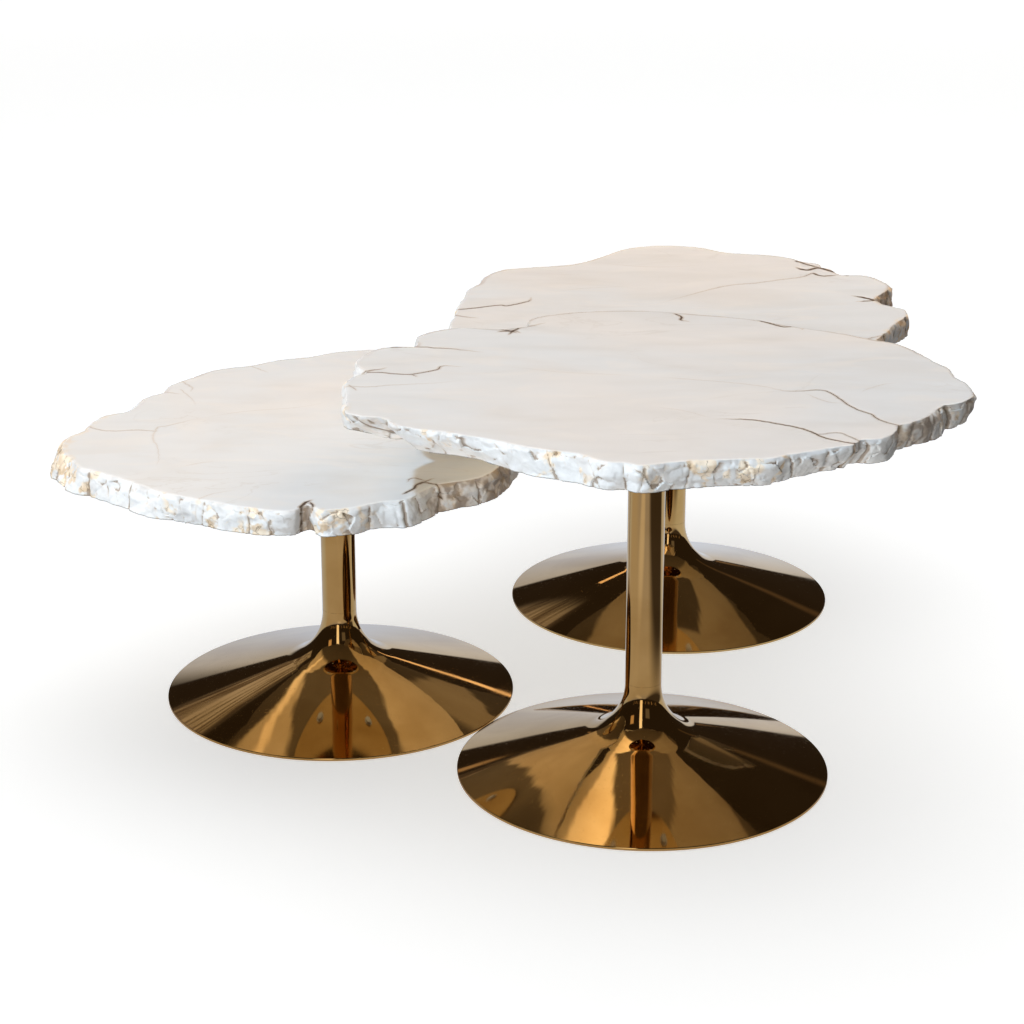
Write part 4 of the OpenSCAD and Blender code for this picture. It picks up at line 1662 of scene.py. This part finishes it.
@dataclass
class Studio:
    """White floor, soft lights and a dark room that only the polished surfaces mirror."""

    room_radius: float = 9.0
    room_height: float = 14.0
    floor_reach: float = 30.0
    paper_left: Colour = (0.60, 0.68, 0.82)
    paper_right: Colour = (0.72, 0.80, 0.92)
    dark: Colour = (0.028, 0.021, 0.015)
    boards: Colour = (0.52, 0.48, 0.44)
    board_gaps: Colour = (0.13, 0.10, 0.075)
    window: Colour = (1.9, 1.8, 1.7)
    lamp: Colour = (1.30, 0.92, 0.55)
    strip_colour: Colour = (1.0, 0.72, 0.44)
    strip_strength: float = 1.5
    floor_paint: Colour = (0.78, 0.86, 0.98)
    floor_glow: tuple[float, ...] = (3.5, 12.0, 0.55, 0.97)
    floor_bounce: tuple[float, ...] = (0.1, 0.6, 0.5, 0.05)
    surrounding: Colour = (0.19, 0.17, 0.145)
    ground_near: Colour = (0.56, 0.54, 0.53)
    ground_far: Colour = (0.47, 0.48, 0.58)
    ground_spot: Colour = (0.80, 0.80, 0.84)
    ground_right: Colour = (0.065, 0.055, 0.05)
    under_tint: Colour = (1.0, 0.95, 0.88)
    under_lights: tuple[tuple[TableName, float], ...] = (
        (TableName.TALL, 6.0), (TableName.LOW, 2.7), (TableName.MIDDLE, 2.9)
    )
    lamps: tuple[Lamp, ...] = (
        Lamp("window_left", 2.45, (0.53, 0.77, 1.0), (-1.15, -0.65, 1.4), None, 3),
        Lamp("front", 93, (0.95, 0.98, 1.0), (-0.9, -4.0, 1.2), (2.6, 1.4)),
        Lamp("overhead", 40, (1.0, 0.72, 0.46), (-1.6, -0.2, 2.4), (1.8, 1.8)),
        Lamp("floor_sky", 290, (1.0, 0.92, 0.81), (0.0, 1.0, 6.0), (8.0, 8.0), on_floor=True),
        Lamp("back_right", 40, (1.0, 0.73, 0.49), (1.5, 1.4, 2.1), (1.5, 1.5)),
    )

    def floor(self) -> bpy.types.Object:
        """White floor that keeps the tables' shadow."""
        material, bench = fresh_material("studio_floor")
        paint = bench.node("ShaderNodeBsdfDiffuse", None, {"Color": (*self.floor_paint, 1)})
        where = bench.node("ShaderNodeTexCoord", output="Object")
        reach = bench.node("ShaderNodeVectorMath", {"operation": "LENGTH"}, {0: where}, "Value")
        glow = bench.glow(reach.between(*self.floor_glow))
        shown = bench.node("ShaderNodeAddShader", None, {0: paint, 1: glow})
        bounce = bench.glow(bench.axes(where)[0].between(*self.floor_bounce))
        seen = bench.node("ShaderNodeLightPath", output="Is Camera Ray")
        bench.end(bench.node("ShaderNodeMixShader", None, {0: seen, 1: bounce, 2: shown}))
        r = self.floor_reach
        corners = [(-r, -r, 0), (r, -r, 0), (r, r, 0), (-r, r, 0)]
        made = new_object("floor", corners, [(0, 1, 2, 3)], material)
        return made

    def room(self) -> None:
        """Dim room seen only in reflections: pale low down, dark brown above, with warm lights."""
        around, ground = 96, 0.6 * MM
        r, h = self.room_radius, self.room_height
        points = [(0.0, 0.0, ground)]
        for radius, height in ((0.8, ground), (2.8, ground), (r, ground), (r, h), (0.1, h)):
            points += [(radius * x, radius * y, height) for x, y in circle(around)]
        faces = [[0, 1 + k, 1 + (k + 1) % around] for k in range(around)]
        faces += turned_over(bands(5, around, 1))
        faces.append(list(range(len(points) - around, len(points))))
        material, bench = fresh_material("studio_room")
        self.paint_room(bench)
        self.only_mirrored(new_object("room", points, faces, material))

    def paint_room(self, bench: Bench) -> None:
        """Emission of the room by bearing and elevation in degrees, and of its floor by place."""
        x, y, z = bench.axes(bench.node("ShaderNodeTexCoord", output="Object"))
        bearing = x.maths("ARCTAN2", y, x) * (180 / math.pi)
        reach = x.maths("SQRT", x * x + y * y)
        height = x.maths("ARCTAN2", z, reach) * (180 / math.pi)

        def patch(left: float, right: float, low: float, high: float, soft: float) -> Wire:
            """Share of a patch between two bearings and two elevations."""
            across = bearing.between(right - soft, right + soft) * bearing.between(
                left - soft, left + soft, 1.0, 0.0
            )
            return across * height.between(low - soft, low + soft) * height.between(
                high - soft, high + soft, 1.0, 0.0
            )

        top = bearing.between(74.0, 104.0, 6.5, 15.0)
        paper = bench.mix(x.between(-0.7, 0.7), self.paper_left, self.paper_right)
        low_wall = (height - top).between(-0.5, 0.5, 1.0, 0.0)
        low_wall = low_wall * bearing.between(62.0, 66.0) * bearing.between(108.0, 114.0, 1.0, 0.0)
        streak = bench.grain(bench.place((1.0, 1.0, 5.0), (0, 24, 0)), 0.9, 5.0, 0.65, 0.3)
        boards = bench.mix(streak.between(0.42, 0.58), self.board_gaps, self.boards)
        colour = bench.mix(low_wall, self.dark, paper)
        for share, tint, *edges in (
            (1.0, boards, 150.0, 104.0, 26.0, 38.0, 1.5),
            (0.35, self.lamp, 109.0, 105.5, 22.8, 24.0, 0.4),
            (0.15, self.lamp, 76.5, 74.5, 8.0, 10.5, 0.6),
            (0.06, self.lamp, 70.0, 40.0, 24.0, 26.0, 1.0),
            (0.9, self.window, -94.0, -106.0, -2.0, 66.0, 1.5),
            (0.6, self.lamp, -132.0, -146.0, 28.0, 44.0, 1.5),
            (0.3, self.boards, -60.0, -78.0, 16.0, 34.0, 1.5),
        ):
            colour = bench.mix(patch(*edges) * share, colour, tint)
        beads = bench.grain(bench.place((3.2, 3.2, 0.2)), 1.1, 2.0).between(0.58, 0.68)
        beads = beads * patch(-20.0, -150.0, 2.0, 7.0, 1.0)
        colour = bench.mix(beads * 0.8, colour, self.lamp)
        front = y.between(-1.5, -0.7, 1.0, 0.0)
        ground = bench.mix(front, self.ground_near, self.ground_far)
        spot = (x + 0.25) * (x + 0.25) * 3.0 + (y + 1.35) * (y + 1.35)
        ground = bench.mix(spot.between(0.02, 0.35, 0.8, 0.0), ground, self.ground_spot)
        ground = bench.mix(x.between(0.35, 0.75), ground, self.ground_right)
        ground = bench.mix(y.between(-2.5, -2.1, 1.0, 0.0), ground, self.dark)
        ground = bench.mix(y.between(-0.25, 0.0), ground, paper)
        colour = bench.mix(z.between(0.0, 0.01, 1.0, 0.0), colour, ground)
        bench.end(bench.glow(1.0, colour))

    def lamp_strip(self) -> None:
        """Warm light strip behind the tables, seen only in reflections."""
        corners = [(-0.02, 0.98, 0.50), (0.42, 0.98, 0.50), (0.42, 0.98, 0.535), (-0.02, 0.98, 0.535)]
        material, bench = fresh_material("studio_lamp")
        bench.end(bench.glow(self.strip_strength, self.strip_colour))
        self.only_mirrored(new_object("lamp_strip", corners, [(0, 1, 2, 3)], material))

    @staticmethod
    def only_mirrored(made: bpy.types.Object) -> None:
        """Marks a piece of the studio that only polished surfaces show."""
        for kind in ("camera", "diffuse", "shadow", "transmission", "volume_scatter"):
            setattr(made, f"visible_{kind}", False)

    def world(self) -> None:
        """Soft surrounding light that looks plain white to the camera."""
        world = bpy.data.worlds.new("studio")
        bpy.context.scene.world = world
        world.use_nodes = True
        bench = Bench(world.node_tree)
        seen = [
            bench.node("ShaderNodeLightPath", output=f"Is {kind} Ray")
            for kind in ("Camera", "Glossy", "Transmission")
        ]
        shown = seen[0].highest(seen[1]).highest(seen[2])
        colour = bench.mix(shown, self.surrounding, (1.0, 1.0, 1.0))
        light = bench.node("ShaderNodeBackground", None, {"Color": colour, "Strength": 1.0})
        bench.end(light, "World")

    @staticmethod
    def light(lamp: Lamp, lit: bpy.types.Collection) -> None:
        """Adds one light that points at the tables, or upwards if it stands under them."""
        data = bpy.data.lights.new(lamp.name, "AREA" if lamp.shape else "SUN")
        data.energy = lamp.strength
        data.color = lamp.colour
        if lamp.shape:
            data.shape = "RECTANGLE"
            data.size, data.size_y = lamp.shape
            aim = Vector((0.1, -0.05, 0.4)) - Vector(lamp.place)
        else:
            data.angle = math.radians(lamp.angle)
            aim = -Vector(lamp.place)
        if lamp.place[2] < 0.4:
            aim = Vector((0, 0, 1))
        made = bpy.data.objects.new(lamp.name, data)
        made.location = lamp.place
        made.rotation_euler = aim.to_track_quat("-Z", "Y").to_euler()
        made.visible_glossy = made.visible_camera = False
        bpy.context.scene.collection.objects.link(made)
        made.light_linking.receiver_collection = lit

    def lights(self, floor: bpy.types.Object, lit: Iterable[bpy.types.Object]) -> None:
        """Cool light from the left and the front, warm light from above, and one for the floor.

        Args:
            floor: The floor.
            lit: The tables' pieces.
        """
        for table, strength in self.under_lights:
            axis = centre_of(f"{table.value}_column")
            place = (axis.x, axis.y + 0.08, 0.15)
            under = Lamp(f"under_{table.value}", strength, self.under_tint, place, (0.7, 0.7))
            self.light(under, group_of(f"lit_{table.value}", [bpy.data.objects[f"{table.value}_stone"]]))
        groups = {False: group_of("lit_pieces", lit), True: group_of("lit_floor", [floor])}
        for lamp in self.lamps:
            self.light(lamp, groups[lamp.on_floor])

    def build(self, axis: Vector, lit: Iterable[bpy.types.Object]) -> None:
        """Sets the whole studio up."""
        floor = self.floor()
        self.room()
        self.lamp_strip()
        self.world()
        self.lights(floor, lit)
        CameraPlace().build(axis)


def main() -> None:
    """Builds the tables and the studio."""
    logging.basicConfig(level=logging.INFO, format="%(name)s: %(message)s")
    noise.seed_set(NOISE_SEED)
    built: list[bpy.types.Object] = []
    for table in (TALL_TABLE, MIDDLE_TABLE, LOW_TABLE):
        for piece in table.build():
            LOG.info("%s: %d faces", piece.name, len(piece.data.polygons))
            built.append(piece)
    Studio().build(centre_of("tall_column"), built)
    scene = bpy.context.scene
    scene.view_settings.view_transform = "Standard"


if __name__ == "__main__":
    main()
